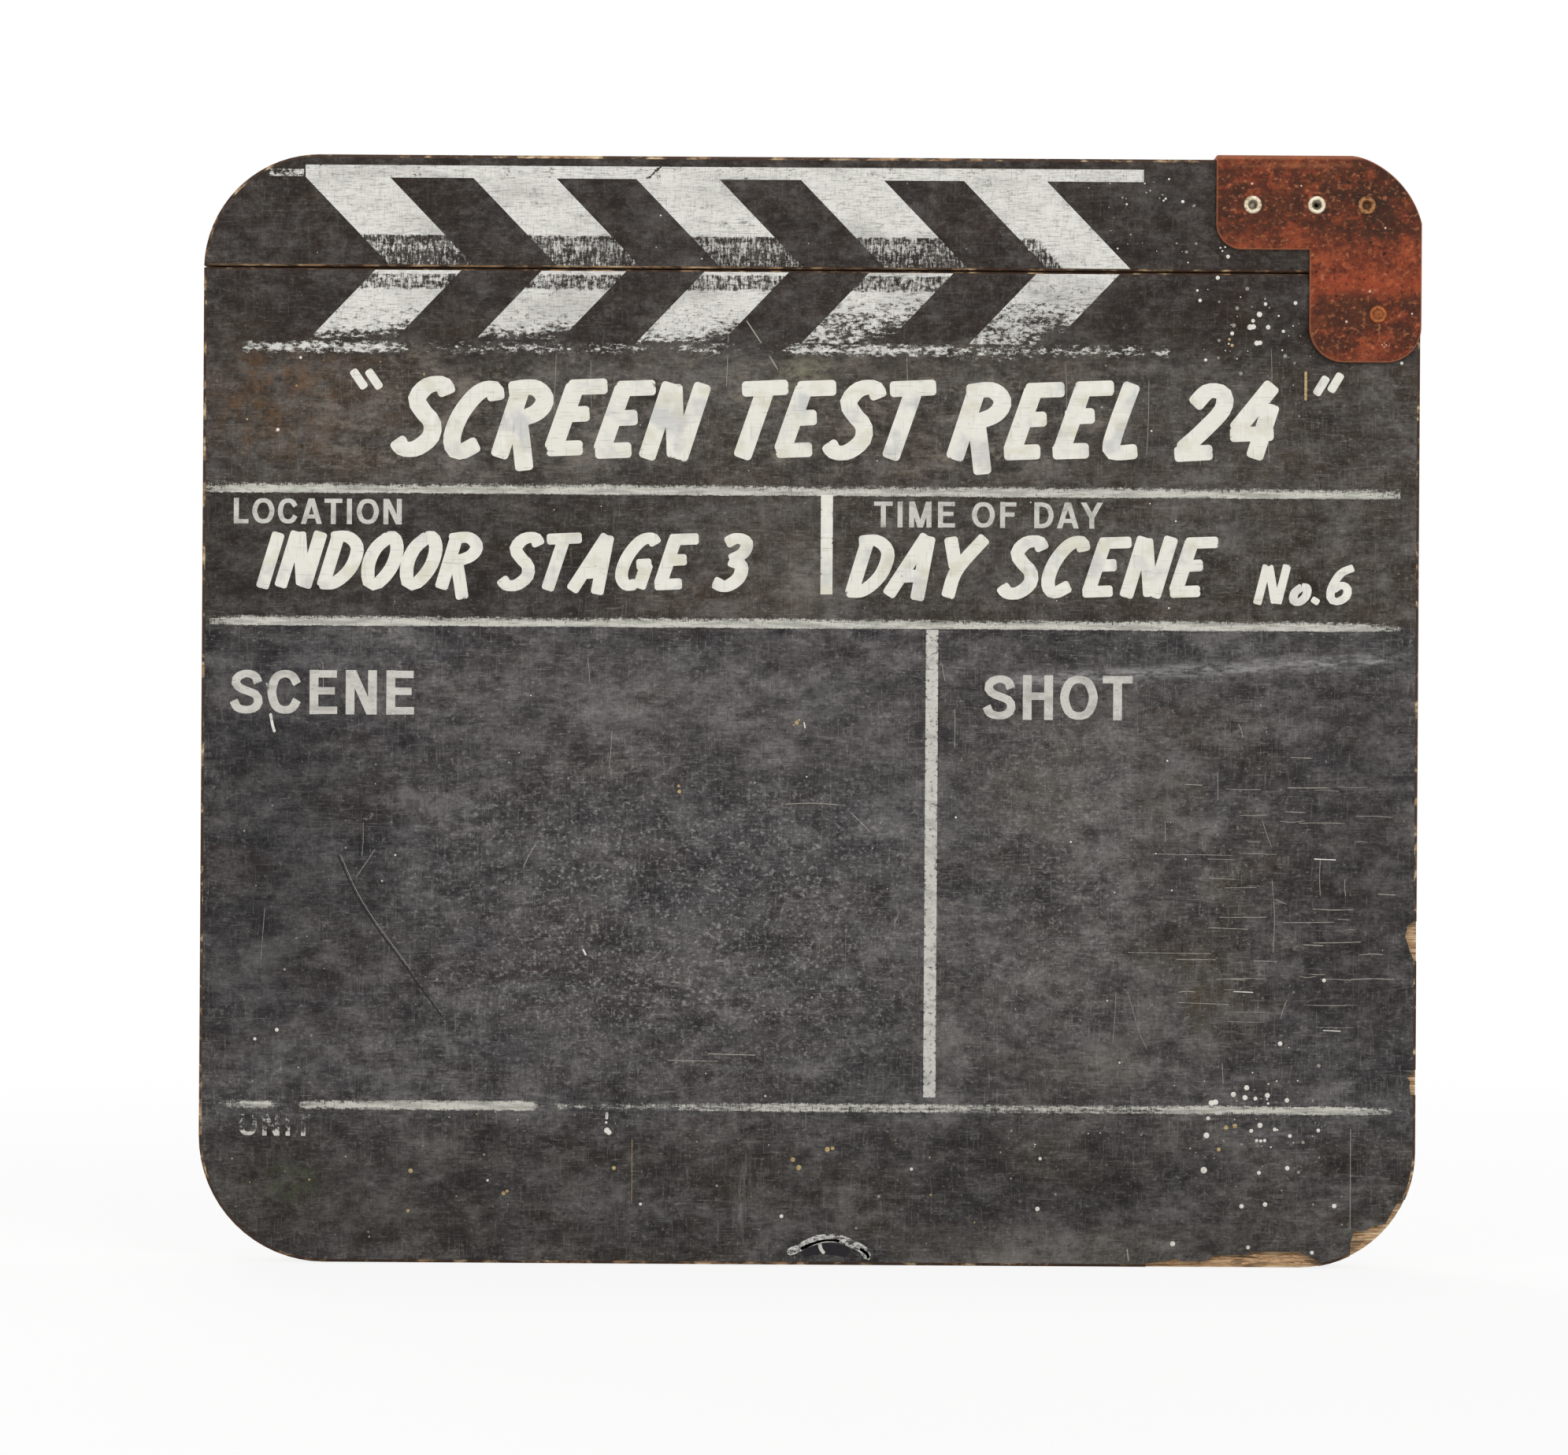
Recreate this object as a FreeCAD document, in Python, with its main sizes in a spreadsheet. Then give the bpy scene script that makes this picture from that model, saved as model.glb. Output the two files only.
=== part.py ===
import FreeCAD, Part
import math
import os
import Sketcher
from FreeCAD import Vector

# A film clapperboard. One round-cornered plywood panel is sawn into a slate board and a clap stick.
# A folded steel saddle is riveted over the hinge end of the stick, and its cheeks straddle the board,
# where one solid rivet through a spacer tube lets the stick and the saddle turn.
#
# Frame: X to the right and Z up as the writing face is read, and that face looks along -Y.
# The origin is the middle of the bottom edge, half way through the board's thickness.

doc = FreeCAD.newDocument("clapperboard")

# Driving dimensions in millimetres, and angles in degrees
SIZES = [
    ("panel_width", 304.8, "width of the panel that board and stick are sawn from"),
    ("board_height", 249.0, "bottom edge of the board to its clapping edge"),
    ("stick_height", 28.0, "clapping edge of the stick to its top edge"),
    ("clap_gap", 0.5, "open line between board and stick when shut"),
    ("corner_radius", 29.0, "round of the panel's top left and bottom right corners"),
    ("worn_corner_radius", 31.5, "round of its bottom left corner, rubbed down further"),
    ("hinge_corner_radius", 23.0, "round of the stick's corner inside the saddle"),
    ("board_thickness", 12.0, "board, rubbed down for repainting"),
    ("stick_thickness", 12.6, "stick, which fills the saddle"),
    ("outer_arris", 0.8, "bevel that wear has left round the outline"),
    ("clap_arris", 0.4, "bevel along the clapping edges"),
    ("sheet_thickness", 1.2, "steel sheet of the saddle"),
    ("bend_radius", 0.8, "inside radius of the two folds"),
    ("saddle_width", 51.4, "length of the saddle along the stick"),
    ("saddle_height", 51.8, "top of the saddle to the end of its lower arm"),
    ("stick_arm_height", 23.7, "height of the arm on the stick"),
    ("board_arm_width", 28.0, "width of the arm on the board"),
    ("stick_arm_round", 6.5, "corner radius of the arm on the stick"),
    ("board_arm_round", 8.8, "corner radius of the arm on the board"),
    ("saddle_arc_radius", 23.5, "radius of the cut round the hinge corner"),
    ("saddle_arc_inset", 22.8, "centre of that cut from both edges of the saddle"),
    ("sheet_bevel", 0.3, "bevel along the outer edge of the sheet"),
    ("rivet_below_top", 11.4, "line of the stick rivets below the stick's top edge"),
    ("left_rivet_inset", 9.0, "left stick rivet from the saddle's left end"),
    ("middle_rivet_inset", 26.4, "middle stick rivet from the right edge"),
    ("right_rivet_inset", 13.9, "right stick rivet from the right edge"),
    ("rivet_shank_radius", 1.6, "shank of a stick rivet"),
    ("rivet_hole_radius", 1.05, "bore of a stick rivet"),
    ("rivet_bore_depth", 4.5, "depth of that bore from the front cheek"),
    ("rivet_tip_depth", 0.6, "conical end of that bore"),
    ("rivet_roll_radius", 2.3, "rolled front end of a stick rivet"),
    ("rivet_roll_crown", 1.75, "radius of the highest ring of the rolled end"),
    ("rivet_flare_depth", 0.5, "depth at which the flare meets the bore"),
    ("rivet_head_radius", 2.9, "rear head of a stick rivet"),
    ("rivet_head_flat", 1.9, "radius of the flat that use has worn on that head"),
    ("head_height", 0.7, "how far heads and rolled ends stand off the sheet"),
    ("pivot_inset", 10.9, "pivot from the right edge"),
    ("pivot_below_clap", 10.15, "pivot below the clapping edge of the board"),
    ("pivot_shank_radius", 2.0, "shank of the pivot rivet"),
    ("pivot_head_radius", 2.6, "heads of the pivot rivet"),
    ("pivot_head_flat", 1.8, "radius of the hammered flat on each"),
    ("spacer_radius", 3.0, "outside of the spacer tube"),
    ("shank_clearance", 0.05, "radial clearance of a rivet shank"),
    ("running_clearance", 0.08, "radial clearance of the spacer tube in the board"),
    ("stop_angle", 80.0, "opening at which the heel of the stick meets the board"),
    ("edge_chip_length", 38.0, "chip of the face veneer on the bottom edge"),
    ("edge_chip_depth", 4.2, "height of that chip"),
    ("edge_chip_inset", 24.0, "right end of that chip from the right edge"),
    ("splinter_length", 10.0, "small chip beside it"),
    ("splinter_depth", 2.1, "height of that small chip"),
    ("splinter_inset", 57.4, "right end of the small chip from the right edge"),
    ("corner_chip_width", 16.2, "chip on the round corner, from the right edge"),
    ("corner_chip_height", 17.2, "top of that chip above the bottom edge"),
    ("side_chip_length", 10.0, "chip on the right edge"),
    ("side_chip_depth", 2.9, "width of that chip"),
    ("side_chip_height", 77.0, "lower end of that chip above the bottom edge"),
    ("low_chip_length", 6.4, "lower chip on the right edge"),
    ("low_chip_depth", 2.4, "width of the lower chip"),
    ("low_chip_height", 43.4, "lower end of the lower chip above the bottom edge"),
    ("cutter_margin", 6.0, "how far a cutting outline runs past the wood"),
]

PLIES = [
    "face_veneer",
    "front_crossband",
    "front_inner_ply",
    "core_ply",
    "rear_inner_ply",
    "rear_crossband",
    "back_veneer",
]

SAME_PLACE = 1e-4

# Chip outlines as (share of length, share of depth), walked from one end of the chip to the other
EDGE_CHIP = [(0, 0.35), (0.25, 0.38), (0.31, 0.72), (0.5, 0.78), (0.58, 1), (0.87, 0.95), (1, 0.4)]
SPLINTER = [(0, 0.4), (0.35, 0.7), (0.8, 1), (1, 0.3)]
CORNER_CHIP = [
    (1, 0.36), (0.95, 0.54), (0.76, 0.55), (0.65, 0.62), (0.46, 0.65), (0.41, 0.74), (0.25, 1),
]
SIDE_CHIP = [(0, 0.25), (0.3, 0.65), (0.62, 1), (0.9, 0.8), (1, 0.3)]
LOW_CHIP = [(0, 0.5), (0.35, 0.7), (0.55, 0.6), (0.72, 1), (0.85, 0.6), (1, 0.4)]


def make_sheet():
    """The spreadsheet of driving dimensions."""
    sheet = doc.addObject("Spreadsheet::Sheet", "dims")
    for row, (alias, size, note) in enumerate(SIZES, 1):
        sheet.set(f"A{row}", note)
        sheet.set(f"B{row}", str(size))
        sheet.setAlias(f"B{row}", alias)
    doc.recompute()
    return sheet


dims = make_sheet()

# Places that several pieces share, as expressions on the sheet
RIGHT = "dims.panel_width / 2"
LEFT = "-dims.panel_width / 2"
STICK_BOTTOM = "dims.board_height + dims.clap_gap"
STICK_TOP = f"{STICK_BOTTOM} + dims.stick_height"
SADDLE_TOP = f"{STICK_TOP} + dims.sheet_thickness"
SADDLE_LEFT = f"{RIGHT} - dims.saddle_width"
SADDLE_BOTTOM = f"{SADDLE_TOP} - dims.saddle_height"
PIVOT_X = f"{RIGHT} - dims.pivot_inset"
PIVOT_Z = "dims.board_height - dims.pivot_below_clap"
RIVET_Z = f"{STICK_TOP} - dims.rivet_below_top"
CHEEK_FACE = "dims.stick_thickness / 2 + dims.sheet_thickness"
SPACER_BORE = "dims.pivot_shank_radius + dims.shank_clearance"
RIVET_X = {
    "left": f"{SADDLE_LEFT} + dims.left_rivet_inset",
    "middle": f"{RIGHT} - dims.middle_rivet_inset",
    "right": f"{RIGHT} - dims.right_rivet_inset",
}


def number(expression):
    """What an expression on the sheet comes to now, for the first guess of a sketch."""
    return float(dims.evalExpression(expression))


def new_body(label):
    body = doc.addObject("PartDesign::Body", label)
    body.Label = label
    return body


def new_sketch(body, name, role, offset="0"):
    """A sketch on one of the body's own origin planes, moved along that plane's normal."""
    plane = next(f for f in body.Origin.OriginFeatures if f.Role == role)
    sketch = body.newObject("Sketcher::SketchObject", name)
    sketch.AttachmentSupport = [(plane, "")]
    sketch.MapMode = "FlatFace"
    sketch.setExpression("AttachmentOffset.Base.z", offset)
    return sketch


def bind(sketch, constraint, expression):
    index = sketch.addConstraint(constraint)
    sketch.setExpression(f"Constraints[{index}]", expression)


def place(sketch, geometry, end, x, y):
    """Fixes one end of a line or arc at a point given by two expressions."""
    for kind, expression, axis in (("DistanceX", x, -2), ("DistanceY", y, -1)):
        if expression == "0":
            sketch.addConstraint(Sketcher.Constraint("PointOnObject", geometry, end, axis))
        else:
            gap = Sketcher.Constraint(kind, -1, 1, geometry, end, number(expression))
            bind(sketch, gap, expression)


def arc_between(start, end, radius):
    """An arc shorter than a half turn that bulges to the left of the way from start to end."""
    chord = end - start
    to_left = Vector(-chord.y, chord.x, 0).normalize()
    rise = math.sqrt(max(radius**2 - (chord.Length / 2) ** 2, 0))
    centre = (start + end) / 2 - to_left * rise
    angles = [math.atan2((p - centre).y, (p - centre).x) for p in (end, start)]
    return Part.ArcOfCircle(Part.Circle(centre, Vector(0, 0, 1), radius), *angles)


def outline(sketch, corners):
    """A closed outline. Each corner is (x, y) as expressions, or (x, y, radius) where the run from
    that corner to the next is an arc. Arcs are counterclockwise, so a run starts at an arc's end 2."""
    points = [Vector(number(c[0]), number(c[1]), 0) for c in corners]
    ends = []
    for i, corner in enumerate(corners):
        start, end = points[i], points[(i + 1) % len(points)]
        if len(corner) == 2:
            sketch.addGeometry(Part.LineSegment(start, end))
            ends.append((1, 2))
        else:
            radius = corner[2]
            sketch.addGeometry(arc_between(start, end, number(radius)))
            bind(sketch, Sketcher.Constraint("Radius", i, number(radius)), radius)
            ends.append((2, 1))
    for i, corner in enumerate(corners):
        after = (i + 1) % len(corners)
        sketch.addConstraint(Sketcher.Constraint("Coincident", i, ends[i][1], after, ends[after][0]))
        place(sketch, i, ends[i][0], corner[0], corner[1])


def circle(sketch, x, y, radius):
    index = sketch.GeometryCount
    centre = Vector(number(x), number(y), 0)
    sketch.addGeometry(Part.Circle(centre, Vector(0, 0, 1), number(radius)))
    place(sketch, index, 3, x, y)
    bind(sketch, Sketcher.Constraint("Radius", index, number(radius)), radius)


def pad(body, sketch, length):
    feature = body.newObject("PartDesign::Pad", sketch.Name + "_pad")
    feature.Profile = sketch
    feature.setExpression("Length", length)
    doc.recompute()
    return feature


def cut_through(body, sketch):
    """Cuts an outline right through the body, both ways, and makes sure that it took something off."""
    before = body.Shape.Volume
    feature = body.newObject("PartDesign::Pocket", sketch.Name + "_cut")
    feature.Profile = sketch
    feature.Type = "ThroughAll"
    feature.SideType = "Symmetric"
    doc.recompute()
    if not body.Shape.Volume < before:
        raise RuntimeError(f"{body.Label}: {sketch.Name} cut nothing")
    return feature


def cut_outline(body, name, role, corners):
    sketch = new_sketch(body, name, role)
    outline(sketch, corners)
    return cut_through(body, sketch)


def cut_holes(body, name, holes):
    """Round holes along Y, each (x, z, radius)."""
    sketch = new_sketch(body, name, "XZ_Plane")
    for x, z, radius in holes:
        circle(sketch, x, z, radius)
    return cut_through(body, sketch)


def dress_edges(body, kind, name, base, size, chosen):
    """A fillet or chamfer along the edges of base for which chosen(edge) holds."""
    names = [f"Edge{i}" for i, edge in enumerate(base.Shape.Edges, 1) if chosen(edge)]
    feature = body.newObject(f"PartDesign::{kind}", name)
    feature.Base = (base, names)
    feature.setExpression("Radius" if kind == "Fillet" else "Size", size)
    doc.recompute()
    return feature


def round_edges(body, name, base, radius, chosen):
    return dress_edges(body, "Fillet", name, base, radius, chosen)


def bevel_edges(body, name, base, size, chosen):
    return dress_edges(body, "Chamfer", name, base, size, chosen)


def near(a, b):
    return abs(a - b) < SAME_PLACE


def runs_along_y(edge, x, z):
    """Whether an edge is the line along Y through (x, z)."""
    box = edge.BoundBox
    return near(box.XMin, x) and near(box.XMax, x) and near(box.ZMin, z) and near(box.ZMax, z)


def corner_test(x, z):
    """A test for the edges along Y at a corner given by expressions."""
    at_x, at_z = number(x), number(z)
    return lambda edge: runs_along_y(edge, at_x, at_z)


def fold_test(z, y):
    """A test for the edges along both folds, at a height and a distance from the middle."""
    at_z, at_y = number(z), number(y)

    def on_fold(edge):
        box = edge.BoundBox
        return near(box.ZMin, at_z) and near(abs(box.YMin), at_y) and not near(box.XLength, 0)

    return on_fold


def flat_at(box, y):
    return near(box.YMin, y) and near(box.YMax, y)


def sawn_panel(label, thickness, layer):
    """One layer of the round-cornered panel, before it is sawn into board and stick."""
    body = new_body(label)
    ply = f"dims.{thickness} / {len(PLIES)}"
    front = f"dims.{thickness} / 2"
    sketch = new_sketch(body, f"{label}_panel", "XZ_Plane", f"{front} - {layer + 1} * ({ply})")
    outline(sketch, [(LEFT, "0"), (RIGHT, "0"), (RIGHT, STICK_TOP), (LEFT, STICK_TOP)])
    base = pad(body, sketch, ply)
    corners = [
        ("top_left_corner", LEFT, STICK_TOP, "dims.corner_radius"),
        ("bottom_right_corner", RIGHT, "0", "dims.corner_radius"),
        ("bottom_left_corner", LEFT, "0", "dims.worn_corner_radius"),
        ("hinge_corner", RIGHT, STICK_TOP, "dims.hinge_corner_radius"),
    ]
    for name, x, z, radius in corners:
        base = round_edges(body, f"{label}_{name}", base, radius, corner_test(x, z))
    return body, base


def saw(body, side_z, clap_z):
    """Takes off the panel between its edge on one side and the clapping edge."""
    left, right = f"{LEFT} - dims.cutter_margin", f"{RIGHT} + dims.cutter_margin"
    return cut_outline(body, f"{body.Label}_saw", "XZ_Plane",
                       [(left, side_z), (right, side_z), (right, clap_z), (left, clap_z)])


def bevel_arrises(body, base, face_y, clap_z):
    """Bevels the outer face's arris: a little along the clapping edge, and more round the rest."""
    on_clap = number(clap_z)

    def along_clap(edge):
        return near(edge.BoundBox.ZMin, on_clap) and near(edge.BoundBox.ZMax, on_clap)

    def outer(edge):
        return flat_at(edge.BoundBox, face_y) and not along_clap(edge)

    worn = bevel_edges(body, f"{body.Label}_arris", base, "dims.outer_arris", outer)
    return bevel_edges(body, f"{body.Label}_clap_arris", worn, "dims.clap_arris",
                       lambda edge: flat_at(edge.BoundBox, face_y) and along_clap(edge))


def cut_knuckle(body):
    """Rounds the board's hinge corner about the pivot, so that the heel of the stick rolls past it, and
    ends the round in the flat that stops the heel."""
    turn = "(90 - dims.stop_angle) * 1deg"
    radius = "dims.pivot_below_clap"
    flat_x = f"{PIVOT_X} + {radius} * cos({turn})"
    flat_z = f"{PIVOT_Z} + {radius} * sin({turn})"
    foot_z = f"{PIVOT_Z} + ({radius} - dims.pivot_inset * cos({turn})) / sin({turn})"
    outside = f"{RIGHT} + dims.cutter_margin"
    above = "dims.board_height + dims.cutter_margin"
    return cut_outline(body, f"{body.Label}_knuckle", "XZ_Plane", [
        (PIVOT_X, "dims.board_height", radius),
        (flat_x, flat_z),
        (RIGHT, foot_z),
        (outside, foot_z),
        (outside, above),
        (PIVOT_X, above),
    ])


def cut_chips(body):
    """Breaks the face veneer away at the edges, where the photograph shows the ply below."""
    out = "-dims.cutter_margin"
    below = [
        ("edge_chip", EDGE_CHIP),
        ("splinter", SPLINTER),
    ]
    for name, shape in below:
        end = f"{RIGHT} - dims.{name}_inset"
        points = [(f"{end} - {1 - s} * dims.{name}_length", f"{d} * dims.{name}_depth")
                  for s, d in shape]
        cut_outline(body, name, "XZ_Plane", points + [(points[-1][0], out), (points[0][0], out)])

    width, height = "dims.corner_chip_width", "dims.corner_chip_height"
    points = [(f"{RIGHT} - {s} * {width}", f"{d} * {height}") for s, d in CORNER_CHIP]
    outside = f"{RIGHT} + dims.cutter_margin"
    cut_outline(body, "corner_chip", "XZ_Plane",
                points + [(outside, points[-1][1]), (outside, out), (points[0][0], out)])

    beside = [
        ("side_chip", SIDE_CHIP),
        ("low_chip", LOW_CHIP),
    ]
    for name, shape in beside:
        foot = f"dims.{name}_height"
        points = [(f"{RIGHT} - {d} * dims.{name}_depth", f"{foot} + {s} * dims.{name}_length")
                  for s, d in shape]
        cut_outline(body, name, "XZ_Plane",
                    points + [(outside, points[-1][1]), (outside, points[0][1])])


def make_board():
    """The slate board: seven plies sawn from the panel, with a knuckle round the pivot."""
    bodies = []
    for layer, ply in enumerate(PLIES):
        body, base = sawn_panel(f"board_{ply}", "board_thickness", layer)
        base = saw(body, f"{STICK_TOP} + dims.cutter_margin", "dims.board_height")
        if layer in (0, len(PLIES) - 1):
            side = -1 if layer == 0 else 1
            bevel_arrises(body, base, side * number("dims.board_thickness") / 2, "dims.board_height")
        cut_knuckle(body)
        hole = "dims.spacer_radius + dims.running_clearance"
        cut_holes(body, f"{body.Label}_pivot_hole", [(PIVOT_X, PIVOT_Z, hole)])
        if layer == 0:
            cut_chips(body)
        bodies.append(body)
    return bodies


def make_stick():
    """The clap stick: the strip sawn off the top of the panel, with three rivet holes."""
    bodies = []
    for layer, ply in enumerate(PLIES):
        body, base = sawn_panel(f"stick_{ply}", "stick_thickness", layer)
        base = saw(body, "-dims.cutter_margin", STICK_BOTTOM)
        if layer in (0, len(PLIES) - 1):
            side = -1 if layer == 0 else 1
            bevel_arrises(body, base, side * number("dims.stick_thickness") / 2, STICK_BOTTOM)
        shank = "dims.rivet_shank_radius + dims.shank_clearance"
        cut_holes(body, f"{body.Label}_rivet_holes", [(x, RIVET_Z, shank) for x in RIVET_X.values()])
        bodies.append(body)
    return bodies


def make_saddle():
    """The hinge saddle: steel sheet folded over the stick's top edge, with both cheeks cut to an L."""
    body = new_body("hinge_bracket")
    block = new_sketch(body, "saddle_block", "YZ_Plane", SADDLE_LEFT)
    rear, front = CHEEK_FACE, f"-({CHEEK_FACE})"
    outline(block, [
        (front, SADDLE_BOTTOM), (rear, SADDLE_BOTTOM), (rear, SADDLE_TOP), (front, SADDLE_TOP)])
    base = pad(body, block, "dims.saddle_width")
    round_edges(body, "outer_bends", base, "dims.bend_radius + dims.sheet_thickness",
                fold_test(SADDLE_TOP, CHEEK_FACE))

    half = "dims.stick_thickness / 2"
    below = f"{SADDLE_BOTTOM} - dims.cutter_margin"
    slot = cut_outline(body, "saddle_slot", "YZ_Plane", [
        (f"-{half}", below), (half, below), (half, STICK_TOP), (f"-{half}", STICK_TOP)])
    round_edges(body, "inner_bends", slot, "dims.bend_radius", fold_test(STICK_TOP, half))

    arm_z = f"{SADDLE_TOP} - dims.stick_arm_height"
    arm_x = f"{RIGHT} - dims.board_arm_width"
    outside = f"{SADDLE_LEFT} - dims.cutter_margin"
    base = cut_outline(body, "arm_notch", "XZ_Plane", [
        (outside, below), (arm_x, below), (arm_x, arm_z), (outside, arm_z)])
    base = round_edges(body, "stick_arm_round", base, "dims.stick_arm_round",
                       corner_test(SADDLE_LEFT, arm_z))
    for name, x in (("left", arm_x), ("right", RIGHT)):
        base = round_edges(body, f"board_arm_{name}_round", base, "dims.board_arm_round",
                           corner_test(x, SADDLE_BOTTOM))

    base = cut_hinge_corner(body)
    bevel_sheet(body, base)
    shank = "dims.rivet_shank_radius + dims.shank_clearance"
    holes = [(x, RIVET_Z, shank) for x in RIVET_X.values()]
    cut_holes(body, "saddle_holes", holes + [(PIVOT_X, PIVOT_Z, SPACER_BORE)])
    return body


def cut_hinge_corner(body):
    """Cuts the saddle's hinge corner to an arc that runs a little past both edges, so the fold ends in a
    crisp corner where the arc leaves it."""
    centre_x, centre_z = f"{RIGHT} - dims.saddle_arc_inset", f"{SADDLE_TOP} - dims.saddle_arc_inset"
    run = "sqrt(dims.saddle_arc_radius ^ 2 - dims.saddle_arc_inset ^ 2)"
    above, outside = f"{SADDLE_TOP} + dims.cutter_margin", f"{RIGHT} + dims.cutter_margin"
    return cut_outline(body, "hinge_corner_arc", "XZ_Plane", [
        (f"{centre_x} + {run}", SADDLE_TOP, "dims.saddle_arc_radius"),
        (RIGHT, f"{centre_z} + {run}"),
        (outside, f"{centre_z} + {run}"),
        (outside, above),
        (f"{centre_x} + {run}", above),
    ])


def bevel_sheet(body, base):
    """Takes the sharpness off both cheeks' outer outline, below the folds."""
    cheek = number(CHEEK_FACE)
    fold = number(f"{SADDLE_TOP} - dims.bend_radius - dims.sheet_thickness")

    def cheek_outline(edge):
        box = edge.BoundBox
        flat = flat_at(box, cheek) or flat_at(box, -cheek)
        return flat and not (near(box.ZMin, fold) and near(box.ZMax, fold))

    return bevel_edges(body, "sheet_edges", base, "dims.sheet_bevel", cheek_outline)


def turned(label, x, z, corners):
    """A piece turned about Y from a half section of (radius, y) corners, and set at (x, z)."""
    body = new_body(label)
    section = new_sketch(body, f"{label}_section", "XY_Plane")
    outline(section, corners)
    turn = body.newObject("PartDesign::Revolution", f"{label}_turn")
    turn.Profile = section
    turn.ReferenceAxis = (section, ["V_Axis"])
    turn.Angle = 360
    body.setExpression("Placement.Base.x", x)
    body.setExpression("Placement.Base.z", z)
    doc.recompute()
    return body


def make_stick_rivets():
    """Semi-tubular rivets: a low head at the back, and an end rolled over the front cheek."""
    front, back = f"-({CHEEK_FACE})", CHEEK_FACE
    shank, bore, roll = "dims.rivet_shank_radius", "dims.rivet_hole_radius", "dims.rivet_roll_radius"
    crown = "dims.rivet_roll_crown"
    head, height = "dims.rivet_head_radius", "dims.head_height"
    floor = f"{front} + dims.rivet_bore_depth"
    section = [
        ("0", f"{floor} + dims.rivet_tip_depth"),
        (bore, floor),
        (bore, f"{front} + dims.rivet_flare_depth"),
        (crown, f"{front} - {height}"),
        (roll, front),
        (shank, front),
        (shank, back),
        (head, back),
        ("dims.rivet_head_flat", f"{back} + {height}"),
        ("0", f"{back} + {height}"),
    ]
    return [turned(f"stick_rivet_{side}", x, RIVET_Z, section) for side, x in RIVET_X.items()]


def make_pivot():
    """The pivot: a solid rivet with two low heads, and the tube that keeps the cheeks apart."""
    front, back = f"-({CHEEK_FACE})", CHEEK_FACE
    shank, head, height = "dims.pivot_shank_radius", "dims.pivot_head_radius", "dims.head_height"
    flat = "dims.pivot_head_flat"
    rivet = turned("pivot_rivet", PIVOT_X, PIVOT_Z, [
        ("0", f"{front} - {height}"),
        (flat, f"{front} - {height}"),
        (head, front),
        (shank, front),
        (shank, back),
        (head, back),
        (flat, f"{back} + {height}"),
        ("0", f"{back} + {height}"),
    ])
    half = "dims.stick_thickness / 2"
    spacer = turned("pivot_spacer", PIVOT_X, PIVOT_Z, [
        (SPACER_BORE, f"-{half}"),
        ("dims.spacer_radius", f"-{half}"),
        ("dims.spacer_radius", half),
        (SPACER_BORE, half),
    ])
    return [rivet, spacer]


def check(bodies):
    """Stops before anything is written if a feature failed or a piece isn't one sound solid."""
    failed = [o.Name for o in doc.Objects if {"Invalid", "Error"} & set(o.State)]
    if failed:
        raise RuntimeError(f"these features failed: {failed}")
    for body in bodies:
        shape = body.Shape
        if shape.isNull() or not shape.isValid() or len(shape.Solids) != 1:
            raise RuntimeError(f"{body.Label} isn't one valid solid")


def main():
    bodies = make_board() + make_stick() + [make_saddle()] + make_stick_rivets() + make_pivot()
    doc.recompute()
    check(bodies)
    os.makedirs("parts", exist_ok=True)
    for body in bodies:
        body.Shape.exportStep(f"parts/{body.Label}.step")
        print(f"{body.Label}: {body.Shape.Volume:.1f} mm3, {len(body.Shape.Faces)} faces")


main()
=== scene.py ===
import math

import bpy
import numpy as np
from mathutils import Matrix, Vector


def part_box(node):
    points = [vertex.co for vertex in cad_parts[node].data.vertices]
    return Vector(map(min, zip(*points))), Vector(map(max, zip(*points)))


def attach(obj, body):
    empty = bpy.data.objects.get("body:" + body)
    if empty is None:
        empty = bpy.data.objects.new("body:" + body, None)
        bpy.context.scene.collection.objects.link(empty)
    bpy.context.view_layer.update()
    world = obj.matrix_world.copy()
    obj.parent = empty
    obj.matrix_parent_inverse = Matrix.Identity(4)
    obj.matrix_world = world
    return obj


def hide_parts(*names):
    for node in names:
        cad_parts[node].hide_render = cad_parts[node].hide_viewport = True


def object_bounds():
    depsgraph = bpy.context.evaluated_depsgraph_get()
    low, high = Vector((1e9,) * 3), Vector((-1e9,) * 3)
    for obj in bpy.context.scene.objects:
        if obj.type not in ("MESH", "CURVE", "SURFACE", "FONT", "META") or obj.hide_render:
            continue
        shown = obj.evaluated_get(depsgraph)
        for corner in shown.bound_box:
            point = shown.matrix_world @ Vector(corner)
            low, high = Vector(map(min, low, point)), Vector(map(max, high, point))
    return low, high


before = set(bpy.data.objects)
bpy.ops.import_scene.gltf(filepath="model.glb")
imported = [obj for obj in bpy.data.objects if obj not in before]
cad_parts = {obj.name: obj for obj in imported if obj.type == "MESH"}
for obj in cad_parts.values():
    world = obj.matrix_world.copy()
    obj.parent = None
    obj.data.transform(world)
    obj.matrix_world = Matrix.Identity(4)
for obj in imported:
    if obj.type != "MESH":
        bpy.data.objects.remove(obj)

# A film clapperboard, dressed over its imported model: old blackboard paint on birch plywood, sign
# enamel for the stripes, rules and words, and a rusted steel hinge with small rolled rivets.
# Sizes below are millimetres in the model's own frame, and metres only where they meet Blender.

mm = 0.001
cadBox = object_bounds()
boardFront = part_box("board_face_veneer")[0].y / mm
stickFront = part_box("stick_face_veneer")[0].y / mm
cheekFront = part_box("hinge_bracket")[0].y / mm
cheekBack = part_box("hinge_bracket")[1].y / mm
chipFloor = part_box("board_front_crossband")[0].y / mm
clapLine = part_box("board_face_veneer")[1].z / mm


def linear(hexColour, alpha=1.0):
    # sRGB hex to linear light: a line near black, a power curve above it
    shares = [int(hexColour[i:i + 2], 16) / 255 for i in (1, 3, 5)]
    return tuple(s / 12.92 if s <= 0.04045 else ((s + 0.055) / 1.055) ** 2.4 for s in shares) + (alpha,)


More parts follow.
